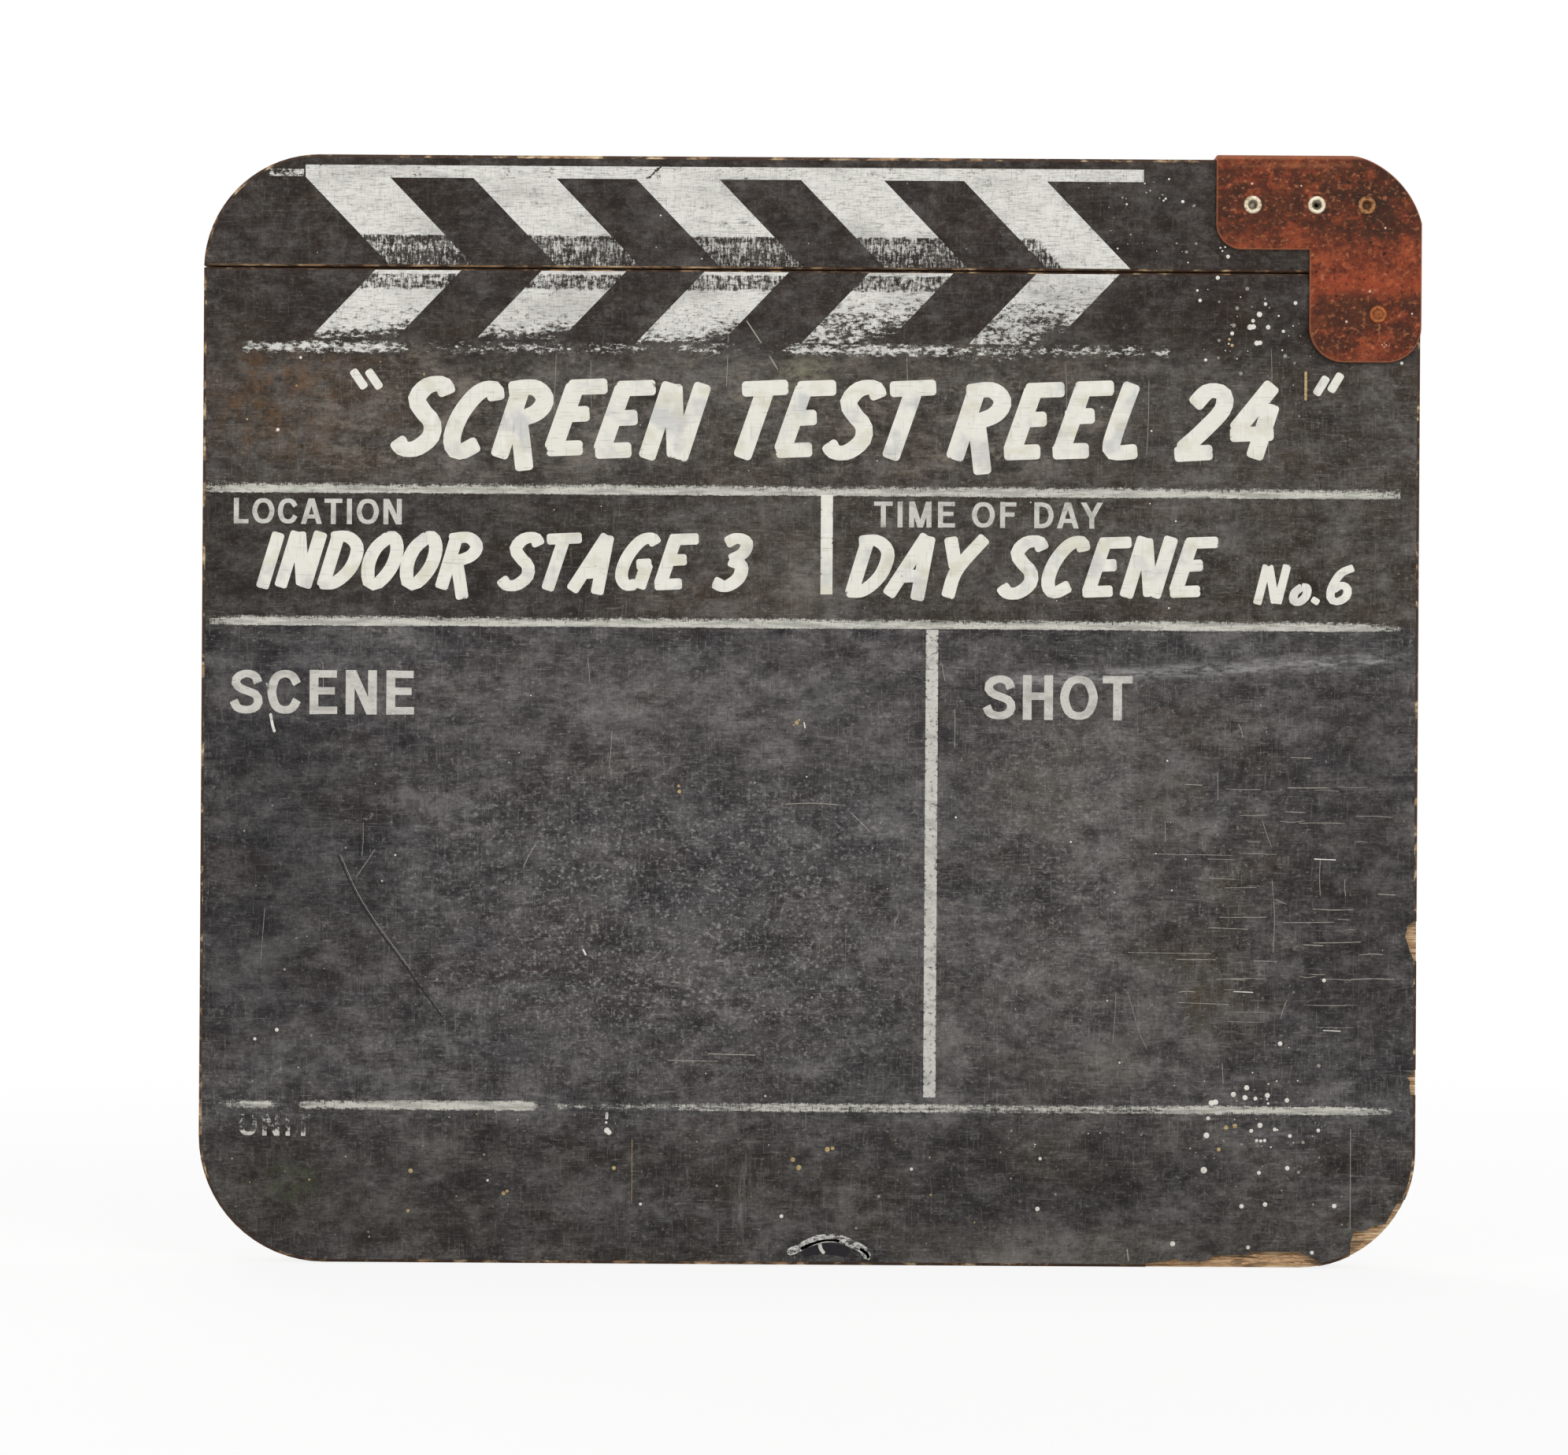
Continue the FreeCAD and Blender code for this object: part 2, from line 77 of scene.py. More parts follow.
def addNode(tree, kind, inputs=None, **settings):
    # one node: its settings, then its inputs by name or number, each a value or what to link from
    node = tree.nodes.new("ShaderNode" + kind)
    for name, value in settings.items():
        setattr(node, name, value)
    for key, value in (inputs or {}).items():
        socket = node.inputs[key] if isinstance(key, int) else next(
            s for s in node.inputs if s.name == key and s.enabled)
        if isinstance(value, bpy.types.Node):
            value = next(s for s in value.outputs if s.enabled)
        if isinstance(value, bpy.types.NodeSocket):
            tree.links.new(value, socket)
        else:
            socket.default_value = value
    return node


def mathNode(tree, operation, *values):
    # arithmetic on sockets and numbers
    return addNode(tree, "Math", dict(enumerate(values)), operation=operation)


def mixColours(tree, share, under, over):
    # one colour turning into another as the share goes from 0 to 1
    return addNode(tree, "Mix", {"Factor": share, "A": under, "B": over}, data_type="RGBA")


def mapRange(tree, value, low, high, bottom=0.0, top=1.0, eased=False):
    # low to high taken to bottom to top and held beyond them, in a straight line or eased at both ends
    return addNode(tree, "MapRange", {
        "Value": value, "From Min": low, "From Max": high, "To Min": bottom, "To Max": top},
        interpolation_type="SMOOTHSTEP" if eased else "LINEAR")


def squareness(tree):
    # 1 where the surface faces straight to the front or back and 0 on the edges: its normal's y, unsigned
    normal = addNode(tree, "SeparateXYZ", {0: addNode(tree, "NewGeometry").outputs["Normal"]})
    return mathNode(tree, "ABSOLUTE", normal.outputs["Y"])


def attributeValue(tree, name):
    # a value given to each point of a piece
    return addNode(tree, "Attribute", attribute_name=name).outputs["Fac"]


def regionMask(tree, coords, centre, half, soft, turn=0):
    # 1 inside a soft-edged, turned rectangle of the face and 0 outside: the fades along x and z multiplied
    (x, z), (halfX, halfZ), (softX, softZ) = centre, half, soft
    if turn:
        coords = addNode(tree, "VectorRotate", {
            "Vector": coords, "Center": (x, 0, z), "Angle": math.radians(turn)}, rotation_type="Y_AXIS")
    away = addNode(tree, "VectorMath", {0: coords, 1: (x, 0, z)}, operation="SUBTRACT")
    size = addNode(tree, "VectorMath", {0: away}, operation="ABSOLUTE")
    fade = addNode(tree, "MapRange", {
        "Vector": size, "From Min": (halfX - softX, 0, halfZ - softZ),
        "From Max": (halfX + softX, 1, halfZ + softZ),
        "To Min": (1, 1, 1), "To Max": (0, 0, 0)}, data_type="FLOAT_VECTOR", interpolation_type="SMOOTHSTEP")
    split = addNode(tree, "SeparateXYZ", {0: fade})
    return mathNode(tree, "MULTIPLY", split.outputs["X"], split.outputs["Z"])


def patternMask(tree, coords, grain, cut, amount=1.0, seed=0, detail=3.0, rough=0.55, region=None):
    # noise with grains of the given size along x and z, its values from low to high taken to 0 to amount,
    # and kept to a region if there is one
    stretched = addNode(tree, "Mapping", {
        "Vector": coords, "Scale": (1 / grain[0], 1 / min(grain), 1 / grain[1]),
        "Location": (seed * 7.3, 0, seed * 3.1)})
    pattern = addNode(tree, "TexNoise", {
        "Vector": stretched, "Scale": 1.0, "Detail": detail, "Roughness": rough})
    mask = mapRange(tree, pattern, *cut, top=amount, eased=True)
    return mathNode(tree, "MULTIPLY", mask, regionMask(tree, coords, *region)) if region else mask


def tone(colour, *pattern, **more):
    # one layer: its colour, then the pattern it is seen through, as patternMask takes it: grain, cut,
    # amount, seed; a region is its centre, half size and soft edge, each along x and z, and its turn
    return colour, pattern, more


def layColours(tree, coords, base, layers):
    # the layers' colours laid over the base one after another
    under = linear(base)
    for colour, pattern, more in layers:
        under = mixColours(tree, patternMask(tree, coords, *pattern, **more), under, linear(colour))
    return under


def millimetres(tree):
    # Object coordinates in millimetres, so every pattern's size is written as a real one
    place = addNode(tree, "TexCoord").outputs["Object"]
    return addNode(tree, "VectorMath", {0: place, 1: (1000, 1000, 1000)}, operation="MULTIPLY")


def emptyTree(owner):
    # the node tree of a material or a world, with nothing in it yet
    owner.use_nodes = True
    owner.node_tree.nodes.clear()
    return owner.node_tree


def addObject(name, data):
    # a mesh, lamp or camera put into the scene
    thing = bpy.data.objects.new(name, data)
    bpy.context.scene.collection.objects.link(thing)
    return thing


def makeMaterial(name, paint, metallic=0.0, specular=0.15, bump=0.04):
    # paint(tree) gives colour, roughness and height, and they meet in one shader; bump is in millimetres
    material = bpy.data.materials.new(name)
    tree = emptyTree(material)
    colour, roughness, height = paint(tree)
    relief = addNode(tree, "Bump", {"Height": height, "Distance": bump * mm, "Strength": 1.0})
    shader = addNode(tree, "BsdfPrincipled", {
        "Base Color": colour, "Roughness": roughness, "Metallic": metallic,
        "Specular IOR Level": specular, "Normal": relief})
    addNode(tree, "OutputMaterial", {"Surface": shader})
    return material


# Blackboard paint, brushed on birch plywood and chalked for years: a charcoal field under a grey chalk
# haze, browner bands above and below, smudges, a weave of fine wipes and the dots left in its pores
boardPaint = {
    "base": "#494748",
    "roughness": (0.68, 0.88),
    "layers": [
        # broad tones: brown-black above and below the writing field, greyer where it was wiped most
        tone("#443f39", (60, 20), (0.05, 0.3), 0.97, region=((0, 222), (170, 61.4), (1, 0.6))),
        tone("#2f2927", (50, 24), (0.15, 0.5), 0.92, 1, region=((0, 260), (170, 27), (1, 9))),
        tone("#584a3b", (14, 8), (0.25, 0.66), 0.9, 4, detail=6, region=((-128, 214), (28, 17), (12, 8))),
        tone("#5e5a53", (18, 9), (0.25, 0.66), 0.9, 3, detail=6, region=((-6, 216), (92, 12), (20, 8))),
        tone("#2d2a29", (40, 12), (0.1, 0.5), 0.85, 5, region=((-108, 177), (72, 15.4), (30, 0.6))),
        tone("#908a82", (14, 12), (0.25, 0.62), 0.85, 6, detail=5, region=((-6, 177), (10, 14), (9, 3))),
        tone("#3a352e", (50, 14), (0.15, 0.5), 0.9, 7, region=((0, 14), (170, 21), (1, 6))),
        tone("#7f7871", (60, 7), (0.3, 0.55), 0.8, 8, detail=5, region=((73, 4), (42, 6.6), (14, 0.5))),
        tone("#343234", (30, 24), (0.2, 0.62), 0.95, 9, detail=5,
             region=((-126, 104), (24, 42), (26, 18))),
        tone("#605c5a", (34, 18), (0.2, 0.62), 0.85, 10, detail=5,
             region=((-22, 138), (66, 15), (20, 10))),
        tone("#5f5a54", (26, 26), (0.2, 0.6), 0.95, 11, detail=5, region=((68, 92), (30, 56), (14, 16))),
        tone("#4e4334", (12, 24), (0.28, 0.62), 0.85, 12, detail=5,
             region=((102, 97), (14, 42), (12, 12))),
        tone("#383432", (24, 14), (0.15, 0.6), 0.9, 13, detail=5, region=((138, 100), (13, 50), (12, 14))),
        tone("#1f1d1e", (30, 30), (0.1, 0.3), 0.75, 14, region=((-153, 130), (4, 130), (2.5, 12))),
        tone("#5c4029", (5, 6), (0.4, 0.58), 0.85, 15, region=((150, 17), (3.5, 9), (3, 4))),
        tone("#78746e", (18, 9), (0.25, 0.62), 0.75, 34, detail=5, region=((58, 56), (26, 11), (18, 9))),
        # faint drifts of red-brown and of blue-grey, as paint and chalk of other years show through
        tone("#45362e", (34, 10), (0.45, 0.68), 0.5, 28, detail=5),
        tone("#37373f", (26, 15), (0.45, 0.68), 0.45, 29, detail=5),
        # felt: light and dark smudges of every size from a finger's width down to a grain of chalk
        tone("#8a8785", (18, 12), (0.43, 0.62), 0.58, 16, detail=8, rough=0.86),
        tone("#131214", (16, 10), (0.42, 0.6), 0.64, 17, detail=8, rough=0.86),
        tone("#8f8b83", (6, 3), (0.51, 0.68), 0.5, 18, detail=7, rough=0.82,
             region=((-6, 214), (120, 17), (30, 8))),
        # hairs of the brushed paint along and across the board
        tone("#8f8c88", (4.5, 0.36), (0.54, 0.76), 0.5, 21, detail=5),
        tone("#8f8c89", (0.36, 4.5), (0.54, 0.76), 0.45, 22, detail=5),
        tone("#161517", (5, 0.38), (0.54, 0.74), 0.55, 23, detail=5),
        tone("#1b1a1b", (0.38, 4), (0.55, 0.76), 0.4, 30, detail=5),
        # chalk left in the pores, thickest in the middle of the field
        tone("#a9a7a4", (1.1, 0.9), (0.52, 0.74), 0.7, 19, detail=2, rough=0.7,
             region=((-32, 86), (56, 36), (34, 22))),
        tone("#a9a7a3", (1.0, 0.8), (0.53, 0.76), 0.6, 33, detail=2, rough=0.7,
             region=((62, 96), (20, 36), (18, 20))),
        tone("#98958f", (1.1, 0.9), (0.58, 0.76), 0.55, 20, detail=2, rough=0.7),
        # dark washes of newer paint over the stick, the left margin and the foot, which calm all below
        tone("#4a3a27", (60, 20), (0.1, 0.4), 0.24, 39, region=((0, 222), (170, 61.4), (1, 0.6))),
        tone("#29201c", (50, 16), (0.1, 0.5), 0.5, 35, detail=5, region=((0, 256.5), (170, 30), (1, 5))),
        tone("#262220", (40, 12), (0.1, 0.5), 0.46, 36, detail=5,
             region=((-122, 177), (58, 15.6), (34, 0.8))),
        tone("#242327", (30, 24), (0.15, 0.5), 0.56, 37, detail=5,
             region=((-134, 102), (18, 46), (28, 18))),
        tone("#2a2622", (30, 12), (0.15, 0.5), 0.26, 38, detail=5, region=((0, 17), (170, 15), (1, 8))),
        tone("#2c251e", (30, 12), (0.15, 0.5), 0.3, 40, detail=5, region=((-118, 18), (34, 16), (22, 8))),
        tone("#2a2523", (20, 16), (0.15, 0.55), 0.42, 41, detail=5,
             region=((138, 102), (12, 46), (14, 16))),
        # the newest wear over all of it: small darks, small lights, and brown at the left of the title
        tone("#100f10", (10, 6), (0.44, 0.6), 0.4, 42, detail=8, rough=0.88),
        tone("#b5b2ad", (9, 6), (0.46, 0.66), 0.13, 43, detail=8, rough=0.88),
        tone("#8e867b", (10, 5), (0.5, 0.64), 0.5, 44, detail=8, rough=0.82,
             region=((-26, 213), (110, 17), (24, 7))),
        tone("#1b1715", (9, 6), (0.5, 0.64), 0.5, 45, detail=8, rough=0.82,
             region=((-40, 214), (120, 18), (24, 7))),
        tone("#70543a", (6, 6), (0.46, 0.62), 0.6, 46, detail=7, rough=0.8,
             region=((-134, 216), (14, 12), (10, 7))),
        # one broad chalky wipe at the upper right of the field, and stains of yellow and green
        tone("#aeadac", (5, 1.3), (0.38, 0.66), 0.75, 24, detail=6, rough=0.8,
             region=((98, 149.6), (48, 1.5), (6, 1.5), 3.8)),
        tone("#8f8c74", (3, 2), (0.4, 0.6), 0.6, 25, detail=5, rough=0.8,
             region=((-2, 223), (6, 3.4), (4, 3))),
        tone("#4e5541", (4, 3), (0.42, 0.6), 0.6, 26, detail=5, rough=0.8,
             region=((-129, 20), (6, 4), (4, 3))),
        tone("#8e8b85", (0.8, 6), (0.4, 0.65), 0.45, 27, detail=5, rough=0.8,
             region=((-16, 18.5), (1.4, 10), (1.4, 5), -8)),
    ],
}

# Where the arrises are rubbed through, and along the sawn edges: bare birch under what paint is left
bareEdge = {"wood": "#a2805f", "pale": "#e0c6a0", "dirtAndShade": "#3a291f", "rim": "#46342a", "share": (0.46, 0.62)}

# The back has the same paint, evenly worn, without the front's own marks
backPaint = {
    "base": "#403c3a",
    "layers": [layer for layer in boardPaint["layers"] if "region" not in layer[-1]] + [
        tone("#55504b", (50, 30), (0.34, 0.74), 0.7, 31, detail=6),
        tone("#7f7a72", (24, 1.2), (0.56, 0.74), 0.6, 32, detail=6)],
}


def boardPaintGroup(name, paint):
    # the paint as a group that the enamels share: its colour, roughness, and height of grain and pores
    poreDepth = 0.6
    group = bpy.data.node_groups.new(name, "ShaderNodeTree")
    for output, kind in (("Color", "Color"), ("Roughness", "Float"), ("Height", "Float")):
        group.interface.new_socket(output, in_out="OUTPUT", socket_type="NodeSocket" + kind)
    coords = millimetres(group)
    colour = layColours(group, coords, paint["base"], paint["layers"])
    grain = patternMask(group, coords, (30, 0.6), (0.3, 0.7), detail=5)
    pores = patternMask(group, coords, (0.8, 0.7), (0.3, 0.7), poreDepth, 2)
    height = mathNode(group, "ADD", grain, pores)
    smooth, rough = boardPaint["roughness"]
    roughness = mapRange(group, pores, 0, poreDepth, rough, smooth)
    end = group.nodes.new("NodeGroupOutput")
    group.links.new(colour.outputs[2], end.inputs["Color"])
    group.links.new(roughness.outputs[0], end.inputs["Roughness"])
    group.links.new(height.outputs[0], end.inputs["Height"])
    return group


def paintedVeneer(group):
    # the face is board paint; a facet that leans away from the face is an arris or edge, mostly bare
    return lambda tree: veneerLook(tree, group)


def veneerLook(tree, group):
    # the paint group on the face, brown paint on the arrises, and birch where they are rubbed or knocked
    paint = addNode(tree, "Group", node_tree=group)
    coords = millimetres(tree)
    edge = mapRange(tree, squareness(tree), 0.97, 0.85)
    wood = layColours(tree, coords, bareEdge["wood"], [
        tone(bareEdge["pale"], (5, 1.5), (0.45, 0.65), 0.9),
        tone(bareEdge["dirtAndShade"], (5, 2.5), (0.44, 0.58), 0.95, 3, detail=5)])
    rubbed = patternMask(tree, coords, (4, 4), bareEdge["share"], seed=6, detail=5)
    bare = mathNode(tree, "MULTIPLY", edge, rubbed)
    rim = mixColours(tree, edge, paint.outputs["Color"], linear(bareEdge["rim"]))
    split = addNode(tree, "SeparateXYZ", {0: coords})
    above = mapRange(tree, split.outputs["Z"], clapLine + 0.3, clapLine + 0.4)
    below = mapRange(tree, split.outputs["Z"], clapLine + 1.6, clapLine + 1.4)
    lip = mathNode(tree, "MULTIPLY", above, below)
    knocks = patternMask(tree, coords, (30, 6), (0.36, 0.56), seed=9, detail=5,
                         region=((-60, 250), (86, 4), (50, 1)))
    worn = mathNode(tree, "MULTIPLY", mathNode(tree, "MULTIPLY", lip, knocks), edge)
    colour = mixColours(tree, mathNode(tree, "MAXIMUM", bare, worn), rim, wood)
    return colour, paint.outputs["Roughness"], paint.outputs["Height"]


def birchPly(plyThickness):
    # bare birch seen in the chips and on the edges: fibres along x, dirt, and dark glue lines between plies
    def paint(tree):
        coords = millimetres(tree)
        wood = layColours(tree, coords, "#c09a72", [
            tone("#e6caa4", (12, 0.5), (0.4, 0.6), 0.9, detail=4),
            tone("#936847", (7, 0.35), (0.5, 0.66), 0.8, 2, detail=4),
            tone("#33261d", (9, 0.3), (0.6, 0.68), 0.9, 4, detail=3),
            tone("#4f3828", (7, 3), (0.58, 0.7), 0.7, 5),
            tone("#2b2522", (16, 6), (0.54, 0.66), 0.6, 7)])
        split = addNode(tree, "SeparateXYZ", {0: coords})
        shifted = mathNode(tree, "ADD", split.outputs["Y"], plyThickness / 2)
        away = mathNode(tree, "PINGPONG", shifted, plyThickness / 2)
        glue = mapRange(tree, away, 0.28, 0.06, top=0.85)
        onEdge = mapRange(tree, squareness(tree), 0.6, 0.3)
        colour = mixColours(tree, mathNode(tree, "MULTIPLY", glue, onEdge), wood, linear("#3a2417"))
        fibre = patternMask(tree, coords, (8, 0.35), (0.3, 0.7), detail=5)
        return colour, 0.78, fibre
    return paint


def signEnamel(enamel):
    # sign painter's enamel that flakes off a grained board: paint stays where the attribute "cover" beats
    # the noise, which is blotchy or, by the attribute "comb", drawn out up and down
    def paint(tree):
        board = addNode(tree, "Group", node_tree=paintGroup)
        coords = millimetres(tree)
        film = layColours(tree, coords, enamel["colour"], enamel["layers"])
        along, across = enamel["flake"]
        crumbs = {"cut": (0.3, 0.7), "detail": 6, "rough": enamel["crumble"]}
        blotches = patternMask(tree, coords, (along, across), **crumbs)
        teeth = patternMask(tree, coords, (across * 0.6, across * 3), seed=4, **crumbs)
        noise = addNode(tree, "Mix", {"Factor": attributeValue(tree, "comb"), "A": blotches, "B": teeth})
        ahead = mathNode(tree, "SUBTRACT", attributeValue(tree, "cover"), noise)
        kept = mapRange(tree, ahead, -enamel["soft"], enamel["soft"], eased=True)
        colour = mixColours(tree, kept, board.outputs["Color"], film)
        roughness = addNode(tree, "Mix", {"Factor": kept, "A": board.outputs["Roughness"], "B": 0.55})
        raised = mathNode(tree, "ADD", kept, board.outputs["Height"])
        return colour, roughness, raised
    return paint


stripeEnamel = {
    "colour": "#ebe9e3", "flake": (1.8, 0.9), "crumble": 0.82, "soft": 0.12,
    "layers": [
        tone("#bcbab4", (22, 10), (0.42, 0.65), 0.6),
        tone("#eceae4", (14, 5), (0.45, 0.65), 0.5, 3),
        tone("#444241", (4, 0.32), (0.46, 0.74), 0.85, 5, detail=6, rough=0.8),
        tone("#5c5a59", (0.3, 3.4), (0.49, 0.76), 0.7, 6, detail=6, rough=0.8),
        tone("#3f3c3a", (4, 2.4), (0.555, 0.64), 0.8, 7, detail=8, rough=0.95),
    ],
}
ruleEnamel = {
    "colour": "#d3d1c7", "flake": (2.0, 0.6), "crumble": 0.82, "soft": 0.16,
    "layers": [
        tone("#a5a49c", (12, 1.2), (0.42, 0.62), 0.8),
        tone("#5d5b58", (2.6, 0.35), (0.52, 0.72), 0.8, 5, detail=5, rough=0.75),
        tone("#55534f", (0.35, 1.4), (0.53, 0.72), 0.8, 6, detail=5, rough=0.75),
    ],
}
letterEnamel = {
    "colour": "#edeae0", "flake": (1.6, 1.2), "crumble": 0.7, "soft": 0.07,
    "layers": [
        tone("#b3b5ba", (10, 9), (0.52, 0.68), 0.5, 2),
        tone("#f8f6ee", (3, 7), (0.5, 0.7), 0.5, 3),
        tone("#d3cdb4", (9, 6), (0.5, 0.68), 0.5, 4),
        tone("#a9a8a4", (0.4, 7), (0.58, 0.76), 0.5, 6, detail=4),
        tone("#918f8a", (6, 0.35), (0.58, 0.76), 0.5, 7, detail=4),
    ],
}
labelEnamel = {
    "colour": "#cfcdc5", "flake": (1.2, 1.0), "crumble": 0.75, "soft": 0.18,
    "layers": [
        tone("#aaa8a1", (8, 3), (0.45, 0.65), 0.7, 2),
        tone("#dddbd3", (3, 2), (0.5, 0.7), 0.5, 3),
        tone("#6f6d69", (0.6, 0.5), (0.58, 0.74), 0.6, 5),
    ],
}


def rustedSteel(tree):
    # mild steel sheet left to rust: orange-brown bloom, dark scale round the rivets and at the foot, a
    # painted highlight along the fold's crease, and a lighter rim on the bevelled edges that is part wear
    # and part painted highlight
    coords = millimetres(tree)
    stain = {"detail": 8, "rough": 0.78}
    colour = layColours(tree, coords, "#96492f", [
        tone("#a95735", (6, 4.5), (0.43, 0.6), 0.7, detail=8, rough=0.85),
        tone("#5c2a20", (5, 4), (0.42, 0.57), 0.8, 3, detail=8, rough=0.85),
        tone("#a84c30", (9, 3), (0.35, 0.6), 0.6, 9, detail=6, rough=0.8,
             region=((139, 246), (14, 3), (3, 2))),
        tone("#33271f", (6, 5), (0.41, 0.56), 0.78, **stain, region=((125, 267), (34, 11), (6, 5))),
        tone("#33271f", (6, 5), (0.4, 0.54), 0.78, 7, **stain, region=((141, 268), (13, 11), (6, 4))),
        tone("#33271f", (6, 5), (0.4, 0.55), 0.78, 5, **stain, region=((139, 236.5), (15, 8), (4, 3))),
        tone("#c07b55", (1.3, 1.1), (0.53, 0.72), 0.6, 8, detail=4),
        tone("#47221a", (1.2, 1.1), (0.5, 0.7), 0.65, 2, detail=4),
        # painted highlight: a lighter line along the crease of the fold near the top edge
        tone("#b97350", (6, 0.8), (0.36, 0.6), 0.5, 13, detail=5, rough=0.8,
             region=((120, 276.1), (15, 0.4), (3, 0.9))),
        tone("#1f1815", (1.5, 1.5), (0.61, 0.7), 0.8, 11, detail=3),
    ])
    # the bevelled rim, picked out by its leaning normal, in lighter rust: worn metal and a painted edge
    # highlight
    rimWearAndHighlight = mapRange(tree, squareness(tree), 0.97, 0.8, top=0.55)
    worn = mixColours(tree, rimWearAndHighlight, colour, linear("#b07050"))
    pits = patternMask(tree, coords, (0.9, 0.9), (0.3, 0.7), detail=5)
    return worn, 0.74, pits


def turnedRivet(finish):
    # a rivet's end: its own colour patched with another, going to its colour of dirt and painted shade where
    # the attribute "cover" falls to 0; for rivets "cover" holds painted shade from the turned section
    def paint(tree):
        coords = millimetres(tree)
        colour = layColours(tree, coords, finish["colour"], [
            tone(finish["worn"], (1.1, 0.8), (0.4, 0.62), 0.85),
            tone(finish["stain"], (0.8, 0.8), (0.5, 0.66), 0.75, 4, detail=4)])
        # painted shade: dark in the bore and at the edges of the rolled lip, light on the lip's crest as a
        # painted highlight
        shadedRivetColour = mixColours(tree, attributeValue(tree, "cover"), linear(finish["dirtAndShade"]), colour)
        scuffs = patternMask(tree, coords, (0.5, 0.5), (0.3, 0.7), detail=4)
        return shadedRivetColour, finish["roughness"], scuffs
    return paint


# each rivet finish: its colour, worn patches, stains, the colour of dirt and painted shade in hollows and at
# edges, and roughness
finishParts = ("colour", "worn", "stain", "dirtAndShade", "roughness")
rivetFinishes = {name: dict(zip(finishParts, row)) for name, row in {
    "brass": ("#dccdae", "#f3ead4", "#8d7350", "#2c221a", 0.42),
    "rust": ("#99683f", "#c08e62", "#5b3826", "#2a1a13", 0.66),
    "pivot": ("#a45c34", "#c0743f", "#733c26", "#46281b", 0.66),
}.items()}


def drawnSteel(tree):
    # the plain drawn tube on the pivot, with the faint lines of the die
    coords = millimetres(tree)
    colour = layColours(tree, coords, "#8f8c86", [
        tone("#6b675f", (0.6, 0.6), (0.45, 0.65), 0.7)])
    return colour, 0.45, patternMask(tree, coords, (0.4, 0.4), (0.3, 0.7))


def plainFleck(colour, dark):
    # spots and streaks of paint, chalk or torn wood: one colour, a darker one through it
    def paint(tree):
        coords = millimetres(tree)
        mixed = layColours(tree, coords, colour, [
            tone(dark, (1.6, 0.5), (0.45, 0.68), 0.7, detail=4)])
        return mixed, 0.7, patternMask(tree, coords, (1, 0.4), (0.3, 0.7))
    return paint


paintGroup = boardPaintGroup("boardPaint", boardPaint)
backGroup = boardPaintGroup("backPaint", backPaint)
boardPly = (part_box("board_back_veneer")[1].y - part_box("board_face_veneer")[0].y) / mm / 7
stickPly = (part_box("stick_back_veneer")[1].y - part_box("stick_face_veneer")[0].y) / mm / 7
materials = {
    "veneer": makeMaterial("blackboardPaintOnBirch", paintedVeneer(paintGroup), bump=0.05),
    "back": makeMaterial("blackboardPaintOnTheBack", paintedVeneer(backGroup), bump=0.05),
    "boardPly": makeMaterial("bareBirchBoardPly", birchPly(boardPly), bump=0.08),
    "stickPly": makeMaterial("bareBirchStickPly", birchPly(stickPly), bump=0.08),
    "rust": makeMaterial("rustedSteelSheet", rustedSteel, bump=0.12),
    "brass": makeMaterial("dullTurnedBrass", turnedRivet(rivetFinishes["brass"]), metallic=0.3,
                          specular=0.5, bump=0.02),
    "rivet": makeMaterial("rustedSteelRivet", turnedRivet(rivetFinishes["rust"]), bump=0.05),
    "pivot": makeMaterial("rustedHammeredPivot", turnedRivet(rivetFinishes["pivot"]), bump=0.05),
    "tube": makeMaterial("drawnSteelTube", drawnSteel, metallic=0.9, bump=0.01),
    "stripes": makeMaterial("brushedStripeEnamel", signEnamel(stripeEnamel), bump=0.05),
    "rules": makeMaterial("rubbedRuleEnamel", signEnamel(ruleEnamel), bump=0.04),
    "letters": makeMaterial("brushedLetterEnamel", signEnamel(letterEnamel), bump=0.05),
    "labels": makeMaterial("stencilledLabelEnamel", signEnamel(labelEnamel), bump=0.04),
    "spots": makeMaterial("spatteredWhitePaint", plainFleck("#ebe8e0", "#c2beb3"), bump=0.03),
    "dullSpots": makeMaterial("spatteredDirtyPaint", plainFleck("#9d988f", "#77726a"), bump=0.03),
    "warmSpots": makeMaterial("spatteredCreamPaint", plainFleck("#c2ab7c", "#7f6a47"), bump=0.03),
    "rustSpots": makeMaterial("spatteredPaintOnRust", plainFleck("#dcc0b0", "#a98371"), bump=0.03),
    "scratches": makeMaterial("fineScratchesInPaint", plainFleck("#a8a399", "#6b665e"), bump=0.02),
    "scores": makeMaterial("darkScoreInPaint", plainFleck("#29272a", "#1d1c1e"), bump=0.02),
    "fibres": makeMaterial("tornBirchFibres", plainFleck("#d4b088", "#8f6544"), bump=0.06),
}
print("materials made:", len(materials))


def dressNode(name, material):
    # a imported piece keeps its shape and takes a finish
    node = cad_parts[name]
    node.data.materials.clear()
    node.data.materials.append(material)


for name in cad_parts:
    if name.endswith("face_veneer"):
        dressNode(name, materials["veneer"])
    elif name.endswith("back_veneer"):
        dressNode(name, materials["back"])
    elif name.startswith("board_"):
        dressNode(name, materials["boardPly"])
    elif name.startswith("stick_") and "rivet" not in name:
        dressNode(name, materials["stickPly"])
dressNode("hinge_bracket", materials["rust"])
dressNode("pivot_spacer", materials["tube"])
print("packed pieces dressed")


def addPiece(name, points, faces, material, body, values=None, smooth=False):
    # a mesh from points in millimetres, with its values per point, riding on its body
    mesh = bpy.data.meshes.new(name)
    mesh.from_pydata((points * mm).tolist(), [], faces)
    for key, value in (values or {}).items():
        mesh.attributes.new(key, "FLOAT", "POINT").data.foreach_set("value", value.astype(np.float32))
    mesh.polygons.foreach_set("use_smooth", np.full(len(mesh.polygons), smooth))
    mesh.materials.append(material)
    piece = addObject(name, mesh)
    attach(piece, body)
    return piece


